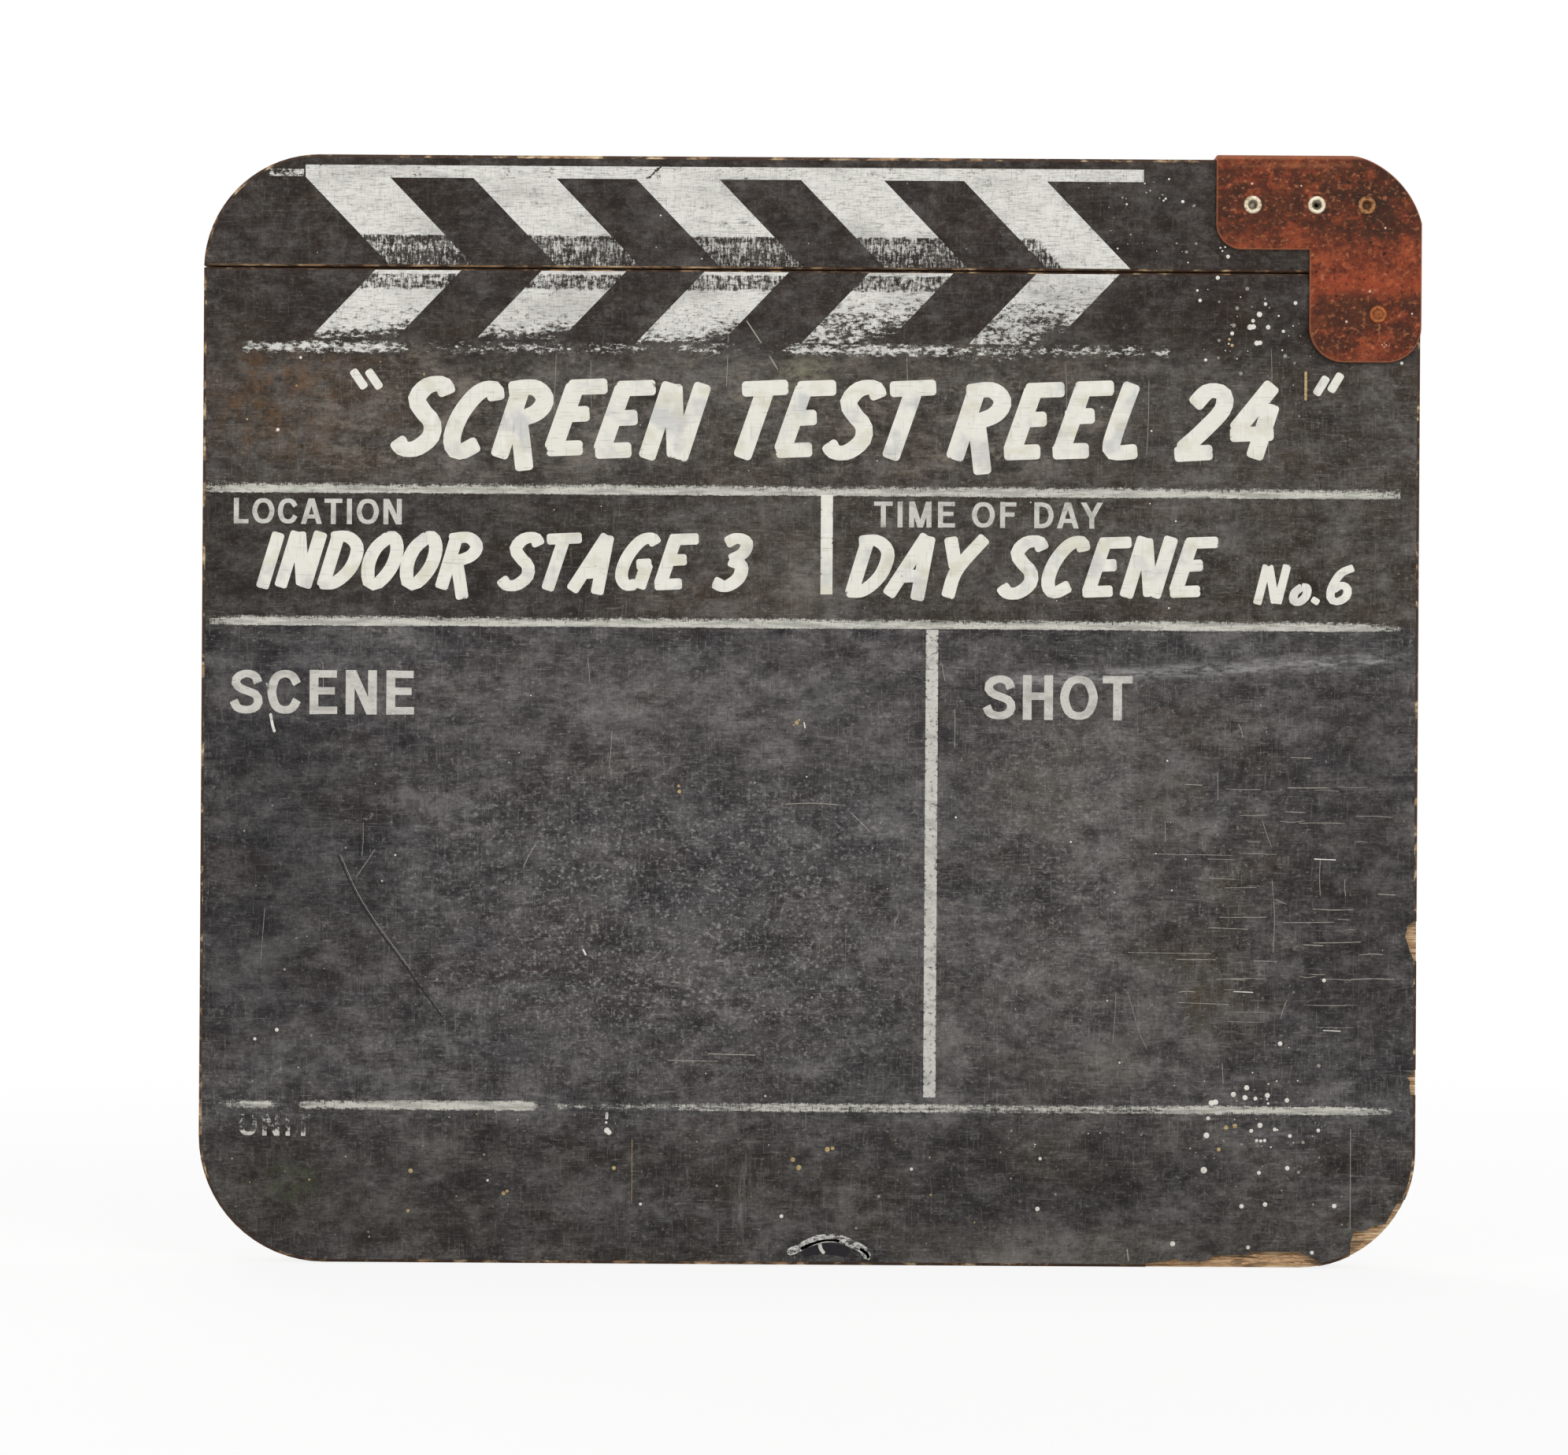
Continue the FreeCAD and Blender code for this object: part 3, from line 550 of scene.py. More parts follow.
def sheetSolid(x, z, front, thickness):
    # a grid of points in the face as a closed film: the grid stands proud by its thickness, and a wall
    # round its rim goes down into the wood, where one many-sided face shuts it
    rows, columns = x.shape
    index = np.arange(rows * columns).reshape(rows, columns)
    quads = np.stack([index[:-1, :-1], index[:-1, 1:], index[1:, 1:], index[1:, :-1]], -1).reshape(-1, 4)
    rim = np.concatenate([index[0, :-1], index[:-1, -1], index[-1, :0:-1], index[:0:-1, 0]])
    foot = rows * columns + np.arange(len(rim))
    wall = np.stack([foot, np.roll(foot, -1), np.roll(rim, -1), rim], -1)
    top = np.stack([x, front - np.broadcast_to(thickness, x.shape), z], -1).reshape(-1, 3)
    low = top[rim]
    low[:, 1] = front + 0.01
    return np.concatenate([top, low]), quads.tolist() + wall.tolist() + [foot[::-1].tolist()], rim


def addFilms(name, sheets, material, body, front):
    # many films as one piece: each is its grid's x and z, cover, comb and thickness
    points, faces, cover, comb, start = [], [], [], [], 0
    for sheet in sheets:
        x, z = sheet["x"], sheet["z"]
        solid, sides, rim = sheetSolid(x, z, front, sheet.get("thickness", 0.06))
        points.append(solid)
        faces += [[start + i for i in side] for side in sides]
        start += len(solid)
        for column, key in ((cover, "cover"), (comb, "comb")):
            flat = np.broadcast_to(sheet.get(key, 0.0), x.shape).reshape(-1)
            column.append(np.concatenate([flat, flat[rim]]))
    return addPiece(name, np.concatenate(points), faces, material, body,
                    {"cover": np.concatenate(cover), "comb": np.concatenate(comb)})


def softBox(value, low, high, soft):
    # 1 between low and high and 0 outside, with a linear fade of the given width at both ends
    return np.clip((value - low) / soft + 0.5, 0, 1) * np.clip((high - value) / soft + 0.5, 0, 1)


def bandGrid(left, right, bottom, top, lean=0.0, step=0.5):
    # a leaning band: x runs from left to right and shifts by lean for each millimetre below the top
    rows = max(int((top - bottom) / step), 2)
    columns = max(int((right - left) / step), 2)
    z, u = np.meshgrid(np.linspace(bottom, top, rows), np.linspace(0, 1, columns), indexing="ij")
    return left + (right - left) * u + lean * (top - z), z, u


# Stripes of the clapping edge. Edges are x at the top of each stripe, and lean is x per mm downwards
stripes = {
    "upper": {"lefts": (-127.05, -85.1, -44.3, -3.1, 37.7), "rights": (-105.9, -64.3, -23.5, 17.7, 58.5),
              "top": 271.8, "bottom": 249.95, "lean": 0.964},
    "lower": {"lefts": (-109.4, -67.8, -27.05, 14.2, 56.1), "rights": (-87.9, -46.6, -5.9, 35.3, 76.9),
              "top": 248.6, "bottoms": (232.6, 232.9, 231.6, 228.6, 228.0), "lean": -0.952},
    "topBorder": {"left": -127.0, "right": 82.8, "bottom": 271.7, "top": 274.8},
    "brokenBorder": {"left": -136.0, "right": -127.4, "bottom": 271.9, "top": 273.7},
    "lowBorder": {"left": -142.6, "right": 92.0, "bottom": 227.6, "top": 230.9,
                  "whole": ((-142, -101, 3, 1), (-6, 34, 3, 1), (35, 83, 3, 0.6)),
                  "sparse": ((-91, -62, 4, 1), (-57, -41, 4, 1), (-34, -20, 4, 1), (86, 89.5, 1, 1))},
    "wornTo": 257.4,
    "rubbedTo": 243.9,
}


def stretches(x, spans):
    # 0 to 1 along x: each span's share between its ends, with its soft width, all added up
    return np.clip(sum(share * softBox(x, low, high, soft) for low, high, soft, share in spans), 0, 1)


def upperStripes():
    # the stick's stripes: nearly whole above, and rubbed to streaks in a band above the clapping edge
    sheets = []
    spec = stripes["upper"]
    for number, (left, right) in enumerate(zip(spec["lefts"], spec["rights"])):
        x, z, u = bandGrid(left, right, spec["bottom"], spec["top"], spec["lean"])
        worn = softBox(z, 200, stripes["wornTo"], 0.5)
        if number == 4:
            worn = worn * softBox(u, -1, 0.22, 0.1)
        depth = 0.4 + 0.12 * softBox(z, 253.5, 256.0, 1.0) - 0.05 * u - 0.03 * (number == 0)
        cover = 0.97 - worn * (0.97 - depth)
        sheets.append({"x": x, "z": z, "cover": cover, "comb": 0.1 + 0.5 * worn, "thickness": 0.06})
    for name, level in (("topBorder", 0.97), ("brokenBorder", 0.6)):
        spec = stripes[name]
        x, z, u = bandGrid(spec["left"], spec["right"], spec["bottom"], spec["top"])
        waves = 0.16 * np.abs(np.sin(x / 9.0) * np.sin(x / 3.7))
        dash = waves + 0.8 * np.exp(-((x + 40 - z + 273) / 0.35) ** 2)
        sheets.append({"x": x, "z": z, "cover": level - dash, "thickness": 0.07})
    return sheets


def lowerStripes():
    # the board's stripes: a thin whole lip, a rubbed band, a whole middle and a ragged foot
    sheets = []
    spec = stripes["lower"]
    for number, (left, right) in enumerate(zip(spec["lefts"], spec["rights"])):
        bottom = spec["bottoms"][number] - 1.5
        x, z, u = bandGrid(left, right, bottom, spec["top"], spec["lean"])
        rubbed = softBox(z, stripes["rubbedTo"], spec["top"] - 0.7, 0.5) * (1.0 if number < 4 else 0.3)
        ragged = np.clip((z - bottom) / 4.0, 0, 1) ** 0.7
        specked = np.clip((246 - z) / 9.0, 0, 1) * (0.44 if number > 2 else 0.18)
        corner = 0.5 * np.clip((u - 0.55) / 0.45, 0, 1) * np.clip((237.5 - z) / 5.0, 0, 1)
        cover = (0.99 - 0.5 * rubbed - specked - corner) * (0.2 + 0.8 * ragged)
        sheets.append({"x": x, "z": z, "cover": cover, "comb": 0.1 + 0.4 * rubbed, "thickness": 0.06})
    spec = stripes["lowBorder"]
    x, z, u = bandGrid(spec["left"], spec["right"], spec["bottom"], spec["top"])
    rim = softBox(z, spec["bottom"] + 0.6, spec["top"] - 0.7, 1.6)
    left = 0.1 + 0.56 * stretches(x, spec["whole"]) + 0.3 * stretches(x, spec["sparse"])
    cover = left * (0.3 + 0.7 * rim)
    sheets.append({"x": x, "z": z, "cover": cover, "comb": 0.0, "thickness": 0.075})
    return sheets


addFilms("stickStripes", upperStripes(), materials["stripes"], "clapper", stickFront)
addFilms("boardStripes", lowerStripes(), materials["stripes"], "board", boardFront)
print("stripes painted")

# Rules across the board. Each has its whole core, a ragged margin below and above, and how much is left
rules = [
    {"left": -151.5, "right": 147.6, "core": (192.8, 193.9), "margin": (0.4, 1.6), "level": 0.86},
    {"left": -150.5, "right": 147.8, "core": (159.5, 160.3), "margin": (0.25, 1.9), "level": 0.98},
    {"left": -147.5, "right": 147.8, "core": (38.8, 39.9), "margin": (0.7, 0.9), "level": 0.74,
     "gaps": ((-134, -127, 1.5, 1), (-68, -63, 2, 1), (-62, -28, 4, 0.5)), "bold": (-98, -69, 4),
     "split": (-28, 90, 5)},
]
dividers = [
    {"left": 2.5, "right": 5.5, "bottom": 168.0, "top": 192.9, "cover": 1.02, "material": "letters"},
    {"left": 29.0, "right": 32.1, "bottom": 42.2, "top": 159.3, "cover": 0.84, "material": "labels"},
]


def ruleSheets():
    # cover falls from the core to both margins and towards the ends, less slow waves and the gaps
    sheets = []
    for rule in rules:
        low, high = rule["core"]
        below, above = rule["margin"]
        x, z, u = bandGrid(rule["left"], rule["right"], low - below, high + above, step=0.4)
        core = np.clip((z - (low - below)) / below, 0, 1) * np.clip((high + above - z) / above, 0, 1) ** 0.8
        patches = 0.06 * np.sin(x / 17.0 + low) + 0.05 * np.sin(x / 5.3 + high)
        ends = np.clip(np.minimum(x - rule["left"], rule["right"] - x) / 9.0, 0, 1)
        cover = (rule["level"] * (0.12 + 0.88 * core) + patches) * (0.48 + 0.52 * ends)
        if "gaps" in rule:
            cover = cover - 0.5 * stretches(x, rule["gaps"]) + 0.2 * softBox(x, *rule["bold"])
            cover = cover - 0.3 * softBox(x, *rule["split"]) * np.exp(-((z - (low + high) / 2) / 0.35) ** 2)
        sheets.append({"x": x, "z": z, "cover": cover, "comb": 0.4, "thickness": 0.05})
    return sheets


addFilms("fieldRules", ruleSheets(), materials["rules"], "board", boardFront)
for number, divider in enumerate(dividers, 1):
    x, z, u = bandGrid(divider["left"], divider["right"], divider["bottom"], divider["top"], step=0.4)
    rim = softBox(u, 0.03, 0.97, 0.1)
    cover = divider["cover"] - 0.25 * (1 - rim)
    addFilms(f"fieldDivider{number}", [{"x": x, "z": z, "cover": cover, "thickness": 0.065}],
             materials[divider["material"]], "board", boardFront)
print("rules painted")

# Letters in hundredths of a capital's height: the width, then each stroke as x, z, x, z and so on
brushLetters = {
    "A": (60, [3, 0, 34, 100], [36, 98, 47, -8], [14, 30, 46, 33]),
    "C": (55, [50, 76, 42, 92, 25, 86, 12, 58, 11, 26, 24, 8, 45, 20]),
    "D": (58, [12, 96, 12, 2], [0, 91, 27, 92, 48, 72, 47, 36, 28, 10, 4, 8]),
    "E": (54, [14, 94, 12, 8], [6, 91, 53, 93], [6, 53, 42, 55], [4, 9, 48, 11]),
    "G": (60, [52, 80, 42, 92, 25, 86, 12, 58, 11, 26, 24, 8, 40, 10], [30, 44, 54, 46], [46, 48, 45, 2]),
    "I": (24, [12, 100, 12, 0]),
    "L": (50, [13, 100, 11, 50, 12, 17, 20, 9, 46, 11]),
    "N": (62, [10, 0, 10, 100], [13, 98, 45, 2], [50, 0, 50, 100]),
    "O": (58, [30, 93, 14, 72, 10, 42, 20, 10, 34, 9, 48, 36, 49, 68, 38, 91, 26, 90]),
    "R": (60, [12, 97, 12, 0], [0, 90, 30, 93, 48, 78, 43, 60, 16, 48], [24, 50, 36, 22, 52, -17]),
    "S": (54, [50, 78, 40, 92, 22, 90, 14, 73, 27, 56, 42, 42, 46, 23, 33, 8, 17, 8, 5, 20]),
    "T": (56, [0, 91, 56, 94], [28, 90, 26, 0]),
    "Y": (58, [4, 100, 26, 48], [54, 100, 27, 46, 25, 0]),
    "o": (42, [22, 46, 10, 30, 12, 10, 24, 7, 34, 22, 32, 42, 20, 46]),
    "2": (56, [8, 72, 20, 91, 39, 88, 45, 68, 30, 40, 10, 13], [6, 9, 52, 12]),
    "3": (52, [7, 84, 22, 93, 40, 86, 40, 67, 22, 54], [20, 54, 42, 44, 44, 22, 27, 7, 5, 15]),
    "4": (60, [36, 100, 8, 38], [3, 34, 56, 36], [42, 72, 42, 0]),
    "6": (52, [44, 93, 22, 78, 11, 42, 15, 14, 30, 7, 44, 20, 42, 40, 28, 48, 14, 36]),
    ".": (16, [6, 0, 10, 14]),
    " ": (26,),
}
plainLetters = {
    "A": (68, [6, -5, 34, 105], [34, 105, 62, -5], [17, 29, 51, 29]),
    "C": (70, [60, 68, 50, 86, 34, 91, 18, 83, 10, 60, 10, 40, 18, 17, 34, 9, 50, 14, 60, 32]),
    "D": (70, [14, 0, 14, 100], [10, 91, 34, 91, 52, 80, 60, 50, 52, 20, 34, 9, 10, 9]),
    "E": (64, [14, 0, 14, 100], [10, 91, 60, 91], [10, 53, 56, 53], [10, 9, 61, 9]),
    "F": (60, [14, 0, 14, 100], [10, 91, 58, 91], [10, 52, 52, 52]),
    "H": (70, [14, 0, 14, 100], [57, 0, 57, 100], [10, 53, 60, 53]),
    "I": (28, [14, 0, 14, 100]),
    "L": (57, [14, 0, 14, 100], [10, 9, 55, 9]),
    "M": (82, [13, 0, 13, 100], [69, 0, 69, 100], [13, 105, 41, -2], [69, 105, 41, -2]),
    "N": (71, [13, 0, 13, 100], [58, 0, 58, 100], [13, 105, 58, -5]),
    "O": (76, [38, 91, 20, 84, 10, 60, 10, 40, 20, 16, 38, 9, 56, 16, 66, 40, 66, 60, 56, 84, 38, 91]),
    "S": (65,
          [56, 70, 50, 85, 33, 91, 16, 84, 11, 70, 20, 58, 36, 51, 52, 43, 57, 28, 50, 14, 33, 9, 15, 14,
           7, 30]),
    "T": (60, [0, 91, 60, 91], [30, 0, 30, 95]),
    "U": (70, [13, 100, 13, 35, 20, 15, 35, 9, 50, 15, 57, 35, 57, 100]),
    "Y": (66, [4, 105, 33, 42], [62, 105, 33, 42], [33, 50, 33, 0]),
    " ": (30,),
}


def smoothPath(points):
    # a curve through all points: each span is a cubic whose end slopes are half its neighbours' chord
    knots = np.array(points, float)
    if len(knots) == 2:
        return knots[0] + (knots[1] - knots[0]) * np.linspace(0, 1, 12)[:, None]
    closed = np.allclose(knots[0], knots[-1])
    before = knots[-2] if closed else 2 * knots[0] - knots[1]
    after = knots[1] if closed else 2 * knots[-1] - knots[-2]
    full = np.concatenate([[before], knots, [after]])
    a, b, c, d = (full[i:len(full) - 3 + i, None] for i in range(4))
    t = np.linspace(0, 1, 12, endpoint=False)[None, :, None]
    curve = 0.5 * (2 * b + (c - a) * t + (2 * a - 5 * b + 4 * c - d) * t**2 + (3 * b - a - 3 * c + d) * t**3)
    return np.concatenate([curve.reshape(-1, 2), knots[-1:]])


def strokeGrid(path, width, corner, across=5, along=34):
    # a brush stroke: points set off to both sides of the path by half the width, which rounds in to the
    # ends over the corner radius; samples crowd towards the ends by a cosine
    steps = np.linalg.norm(np.diff(path, axis=0), axis=1)
    run = np.concatenate([[0], np.cumsum(steps)])
    at = run[-1] * (1 - np.cos(np.linspace(0, np.pi, along))) / 2
    line = np.stack([np.interp(at, run, path[:, 0]), np.interp(at, run, path[:, 1])], -1)
    way = np.gradient(line, at, axis=0)
    way /= np.linalg.norm(way, axis=1)[:, None]
    steep = np.abs(way[:, 1])
    inset = np.clip(np.minimum(at, run[-1] - at) / corner, 0, 1)
    half = width * (0.84 + 0.16 * steep) / 2 - corner * (1 - np.sqrt(1 - (1 - inset) ** 2))
    side = np.linspace(-1, 1, across)[:, None]
    x = line[:, 0] - way[:, 1] * half * side
    z = line[:, 1] + way[:, 0] * half * side
    return x, z, np.minimum(at, run[-1] - at)


# Words on the board: letters, span along x, baseline and height of capitals, stroke width, slant and wear
wordColumns = ("name", "text", "letters", "span", "base", "cap", "stroke", "slant", "cover", "seed")
words = [dict(zip(wordColumns, row)) for row in (
    ("titleWords", "SCREEN TEST REEL 24", "brush", (-105.9, 120.3), 201.9, 19.1, 4.5, 0.32, 1.0, 3),
    ("placeWords", "INDOOR STAGE 3", "brush", (-139.0, -13.5), 168.8, 14.0, 3.3, 0.3, 1.0, 5),
    ("lightWords", "DAY SCENE", "brush", (8.0, 102.5), 167.6, 15.2, 3.5, 0.3, 1.0, 7),
    ("numberWords", "No.6", "brush", (110.6, 137.0), 166.4, 9.9, 2.1, 0.25, 1.0, 9),
    ("placeLabel", "LOCATION", "plain", (-144.9, -102.1), 184.85, 6.4, 1.25, 0.0, 0.93, 1),
    ("lightLabel", "TIME OF DAY", "plain", (15.8, 72.9), 184.9, 6.5, 1.25, 0.0, 0.86, 2),
    ("sceneLabel", "SCENE", "plain", (-145.1, -98.7), 137.2, 11.1, 2.2, 0.0, 0.93, 4),
    ("shotLabel", "SHOT", "plain", (43.4, 80.8), 136.9, 11.2, 2.2, 0.0, 0.95, 6),
    ("fadedLabel", "UNIT", "plain", (-142.5, -124.0), 31.6, 5.4, 1.1, 0.0, 0.36, 8),
)]
quoteMarks = {"x": (-113.4, -109.6, 127.6, 131.2), "z": (221.2, 221.2, 221.0, 221.8),
              "lean": (0.7, 0.7, -0.6, -0.6), "length": 4.6, "stroke": 2.2}


def wordSheets(word):
    # each letter's strokes, spaced so that the word fills its span, then slanted about the baseline
    brushed = word["letters"] == "brush"
    table = brushLetters if brushed else plainLetters
    shake = np.random.default_rng(word["seed"])
    gap = 0.06 if brushed else 0.1
    widths = [table[letter][0] / 100 + gap for letter in word["text"]]
    left, right = word["span"]
    lean = word["slant"] * word["cap"]
    scale = (right - left - lean) / (sum(widths) - gap)
    pen, sheets = left, []
    for letter, width in zip(word["text"], widths):
        lift = shake.normal(0, 0.012) if brushed else 0.0
        for number, stroke in enumerate(table[letter][1:]):
            path = smoothPath(np.reshape(stroke, (-1, 2)) / 100)
            if brushed:
                path = path + shake.normal(0, 0.008, 2)
            path = path * (scale, word["cap"]) + (pen, word["base"] + lift * word["cap"])
            path[:, 0] += word["slant"] * (path[:, 1] - word["base"])
            corner = word["stroke"] * (0.22 if brushed else 0.03)
            x, z, inward = strokeGrid(path, word["stroke"] * shake.uniform(0.96, 1.04) if brushed
                                      else word["stroke"], corner)
            if not brushed:
                z = np.clip(z, word["base"], word["base"] + word["cap"])
            fray = 0.3 * np.exp(-inward / 0.5) if brushed else 0.1 * np.exp(-inward / 0.4)
            cover = np.broadcast_to(word["cover"] - fray, x.shape)
            if word["name"] == "fadedLabel":
                cover = cover + 0.45 * softBox(z, word["base"] - 1, word["base"] + 1.1, 0.8)
            thick = 0.05 + 0.006 * number + 0.03 * (1 - np.linspace(-1, 1, len(x))[:, None] ** 2)
            sheets.append({"x": x, "z": z, "cover": cover, "comb": 0.3,
                           "thickness": np.broadcast_to(thick, x.shape)})
        pen += width * scale
    return sheets


def quoteSheets():
    # the marks before and after the title, each one short leaning stroke
    sheets = []
    for x, z, lean in zip(quoteMarks["x"], quoteMarks["z"], quoteMarks["lean"]):
        half = quoteMarks["length"] / 2
        path = smoothPath([(x - lean * half, z + half), (x + lean * half, z - half)])
        gridX, gridZ, inward = strokeGrid(path, quoteMarks["stroke"], 0.7)
        sheets.append({"x": gridX, "z": gridZ, "cover": 1.0, "comb": 0.3, "thickness": 0.06})
    return sheets


for word in words:
    finish = materials["letters"] if word["letters"] == "brush" else materials["labels"]
    addFilms(word["name"], wordSheets(word), finish, "board", boardFront)
addFilms("titleQuotes", quoteSheets(), materials["letters"], "board", boardFront)
print("words painted:", len(words))

# Spatters of paint: the larger drops by x, z and radius, and finer ones strewn at random round a centre
whiteDrops = [
    (110.0, 45.1, 0.8), (106.7, 43.4, 0.8), (101.2, 41.2, 0.9), (102.2, 41.4, 0.9), (109.6, 42.6, 0.8),
    (112.2, 42.4, 0.6), (115.2, 43.2, 0.8), (115.4, 41.2, 0.4), (120.1, 42.0, 0.7), (100.4, 37.4, 0.6),
    (113.4, 35.7, 0.8), (111.2, 34.3, 0.6), (117.1, 34.7, 0.6), (100.0, 33.1, 0.9), (112.6, 31.9, 0.5),
    (113.6, 31.8, 0.5), (114.6, 31.9, 0.5), (120.9, 33.1, 0.6), (128.0, 34.5, 0.6), (99.4, 24.4, 1.0),
    (120.3, 25.0, 0.7), (113.2, 23.8, 0.6), (108.9, 15.4, 0.7), (114.8, 15.9, 0.7), (132.1, 15.6, 0.7),
    (91.7, 5.9, 0.8), (110.6, 5.1, 0.6), (126.6, 3.9, 0.6), (58.4, 27.0, 0.5), (57.8, 14.4, 0.7),
    (26.2, 24.2, 0.5), (-6.3, 12.2, 0.6), (-41.6, 15.0, 0.5), (-79.9, 20.7, 0.4), (-132.9, 58.1, 0.6),
    (-138.4, 55.8, 0.5), (-50.1, 33.4, 0.9), (-49.6, 32.9, 0.8), (-50.3, 35.4, 0.4), (129.2, 72.1, 0.6),
    (118.3, 56.2, 0.7), (112.0, 238.8, 0.85), (113.5, 241.4, 0.55), (110.4, 237.2, 0.6), (109.7, 235.6, 0.9),
    (110.5, 235.7, 0.8), (114.2, 235.6, 0.7), (118.0, 234.6, 0.5), (121.0, 241.7, 0.6), (111.4, 231.6, 0.8),
    (112.2, 231.7, 0.7), (105.2, 234.0, 0.6), (101.5, 247.9, 0.65), (97.1, 242.2, 0.55), (96.4, 244.7, 0.4),
    (98.6, 227.3, 0.5), (147.7, 226.8, 0.5), (-133.6, 208.4, 0.55), (-128.0, 226.5, 0.45),
]
dullDrops = [
    (106.4, 240.3, 0.6), (105.6, 236.0, 0.65), (101.9, 232.2, 0.5), (108.9, 245.2, 0.6), (101.9, 241.9, 0.4),
    (118.5, 228.4, 0.6), (107.4, 224.0, 0.6), (128.0, 50.7, 0.6), (124.2, 31.5, 0.5), (123.1, 24.0, 0.5),
    (108.8, 30.9, 0.4), (126.6, 42.0, 0.4), (-22.5, 19.7, 0.4), (18.1, 17.3, 0.5), (62.3, 18.1, 0.4),
]
warmDrops = [
    (104.9, 35.1, 0.7), (107.1, 35.5, 0.7), (103.1, 29.6, 0.6), (104.5, 232.5, 0.45), (105.2, 231.0, 0.5),
    (5.1, 29.0, 0.8), (6.4, 29.3, 0.6), (-3.5, 26.4, 0.7), (-2.0, 24.4, 0.8), (-75.9, 17.5, 0.6),
    (-75.0, 18.0, 0.5), (-48.3, 24.0, 0.6), (-99.2, 23.0, 0.7), (-99.8, 13.0, 0.5), (-32.5, 118.4, 0.6),
    (-3.2, 135.8, 0.6), (-32.7, 119.8, 0.45), (-2.6, 136.5, 0.3), (-4.0, 135.2, 0.3),
]
rustDrops = [
    (109.8, 271.4, 0.4), (122.1, 270.9, 0.3), (143.2, 260.5, 0.35), (139.4, 244.6, 0.4),
    (150.0, 239.1, 0.35), (133.6, 237.0, 0.4), (142.6, 231.2, 0.22), (143.6, 231.2, 0.22),
    (143.1, 230.7, 0.2), (143.1, 231.7, 0.2),
]
stickDrops = [
    (104.0, 253.2, 0.6), (102.1, 255.4, 0.3), (102.6, 254.6, 0.3), (103.3, 255.6, 0.3),
    (92.6, 266.9, 0.5), (63.5, 258.9, 0.5),
]
dullStickDrops = [(93.6, 254.3, 0.5), (96.0, 256.4, 0.4)]
strewn = [
    {"body": "board", "finish": "spots", "drops": whiteDrops, "radius": (0.14, 0.34), "clouds": [
        ((112, 38), (34, 22), 26), ((112, 236), (30, 18), 20), ((0, 120), (300, 190), 60)]},
    {"body": "board", "finish": "dullSpots", "drops": dullDrops, "radius": (0.2, 0.42), "clouds": [
        ((0, 18), (300, 40), 40), ((-60, 90), (160, 90), 30), ((90, 228), (80, 30), 16)]},
    {"body": "board", "finish": "warmSpots", "drops": warmDrops, "radius": (0.15, 0.35), "clouds": [
        ((-40, 20), (200, 36), 12), ((-120, 220), (50, 24), 6)]},
    {"body": "clapper", "finish": "spots", "drops": stickDrops, "radius": (0.14, 0.36), "clouds": [
        ((76, 262), (50, 22), 26), ((0, 262), (260, 24), 16)]},
    {"body": "clapper", "finish": "dullSpots", "drops": dullStickDrops, "radius": (0.18, 0.4), "clouds": [
        ((60, 262), (80, 22), 18)]},
    {"body": "clapper", "finish": "rustSpots", "drops": rustDrops, "radius": (0.12, 0.24), "clouds": []},
]
dropShare = 0.86
fineLimits = {"side": 146, "foot": 5, "top": 274, "line": 2, "bracketLeft": 98, "bracketFoot": 252}


def dropSolids(x, z, radius, front, rings=3, sides=10):
    # flat drops: rings of radius r sin(a) at height h cos(a), a pole on top and one face shutting the foot
    tilt = np.linspace(0, np.pi / 2, rings + 1)[1:]
    turn = np.linspace(0, 2 * np.pi, sides, endpoint=False)
    out, up = np.sin(tilt)[:, None], np.cos(tilt)[:, None]
    ringX = x[:, None, None] + radius[:, None, None] * out * np.cos(turn)
    ringZ = z[:, None, None] + radius[:, None, None] * out * np.sin(turn)
    height = 0.03 + 0.12 * radius[:, None, None] * up + 0 * ringX
    height[:, -1] = -0.01
    ring = np.stack([ringX, front - height, ringZ], -1).reshape(len(x), -1, 3)
    pole = np.stack([x, front - 0.03 - 0.12 * radius, z], -1)[:, None]
    points = np.concatenate([ring, pole], 1)
    index = np.arange(rings * sides).reshape(rings, sides)
    turned = np.roll(index, -1, 1)
    quads = np.stack([index[:-1], index[1:], turned[1:], turned[:-1]], -1).reshape(-1, 4)
    cap = np.stack([np.full(sides, rings * sides), index[0], turned[0]], -1)
    each = points.shape[1]
    faces = []
    for number in range(len(x)):
        start = number * each
        faces += (quads + start).tolist() + (cap + start).tolist() + [(index[-1][::-1] + start).tolist()]
    return points.reshape(-1, 3), faces


for number, spatter in enumerate(strewn):
    throw = np.random.default_rng(11 + number)
    front = {"board": boardFront, "clapper": stickFront}[spatter["body"]]
    onBracket = spatter["finish"] == "rustSpots"
    if spatter["body"] == "board":
        low, high = fineLimits["foot"], clapLine - fineLimits["line"]
    else:
        low, high = clapLine + fineLimits["line"], fineLimits["top"]
    fine = np.concatenate([np.zeros((0, 3))] + [np.stack([
        x + width * throw.uniform(-0.5, 0.5, count), z + height * throw.uniform(-0.5, 0.5, count),
        np.interp(throw.random(count) ** 2, (0, 1), spatter["radius"])], -1)
        for (x, z), (width, height), count in spatter["clouds"]])
    clear = (np.abs(fine[:, 0]) < fineLimits["side"]) & (fine[:, 1] > low) & (fine[:, 1] < high)
    clear &= (fine[:, 0] < fineLimits["bracketLeft"]) | (fine[:, 1] < fineLimits["bracketFoot"])
    drops = np.concatenate([np.array(spatter["drops"]), fine[clear]])
    points, faces = dropSolids(drops[:, 0], drops[:, 1], drops[:, 2] * dropShare,
                               cheekFront if onBracket else front)
    addPiece(spatter["body"] + spatter["finish"].capitalize(), points, faces, materials[spatter["finish"]],
             spatter["body"], smooth=True)
print("spatter thrown")

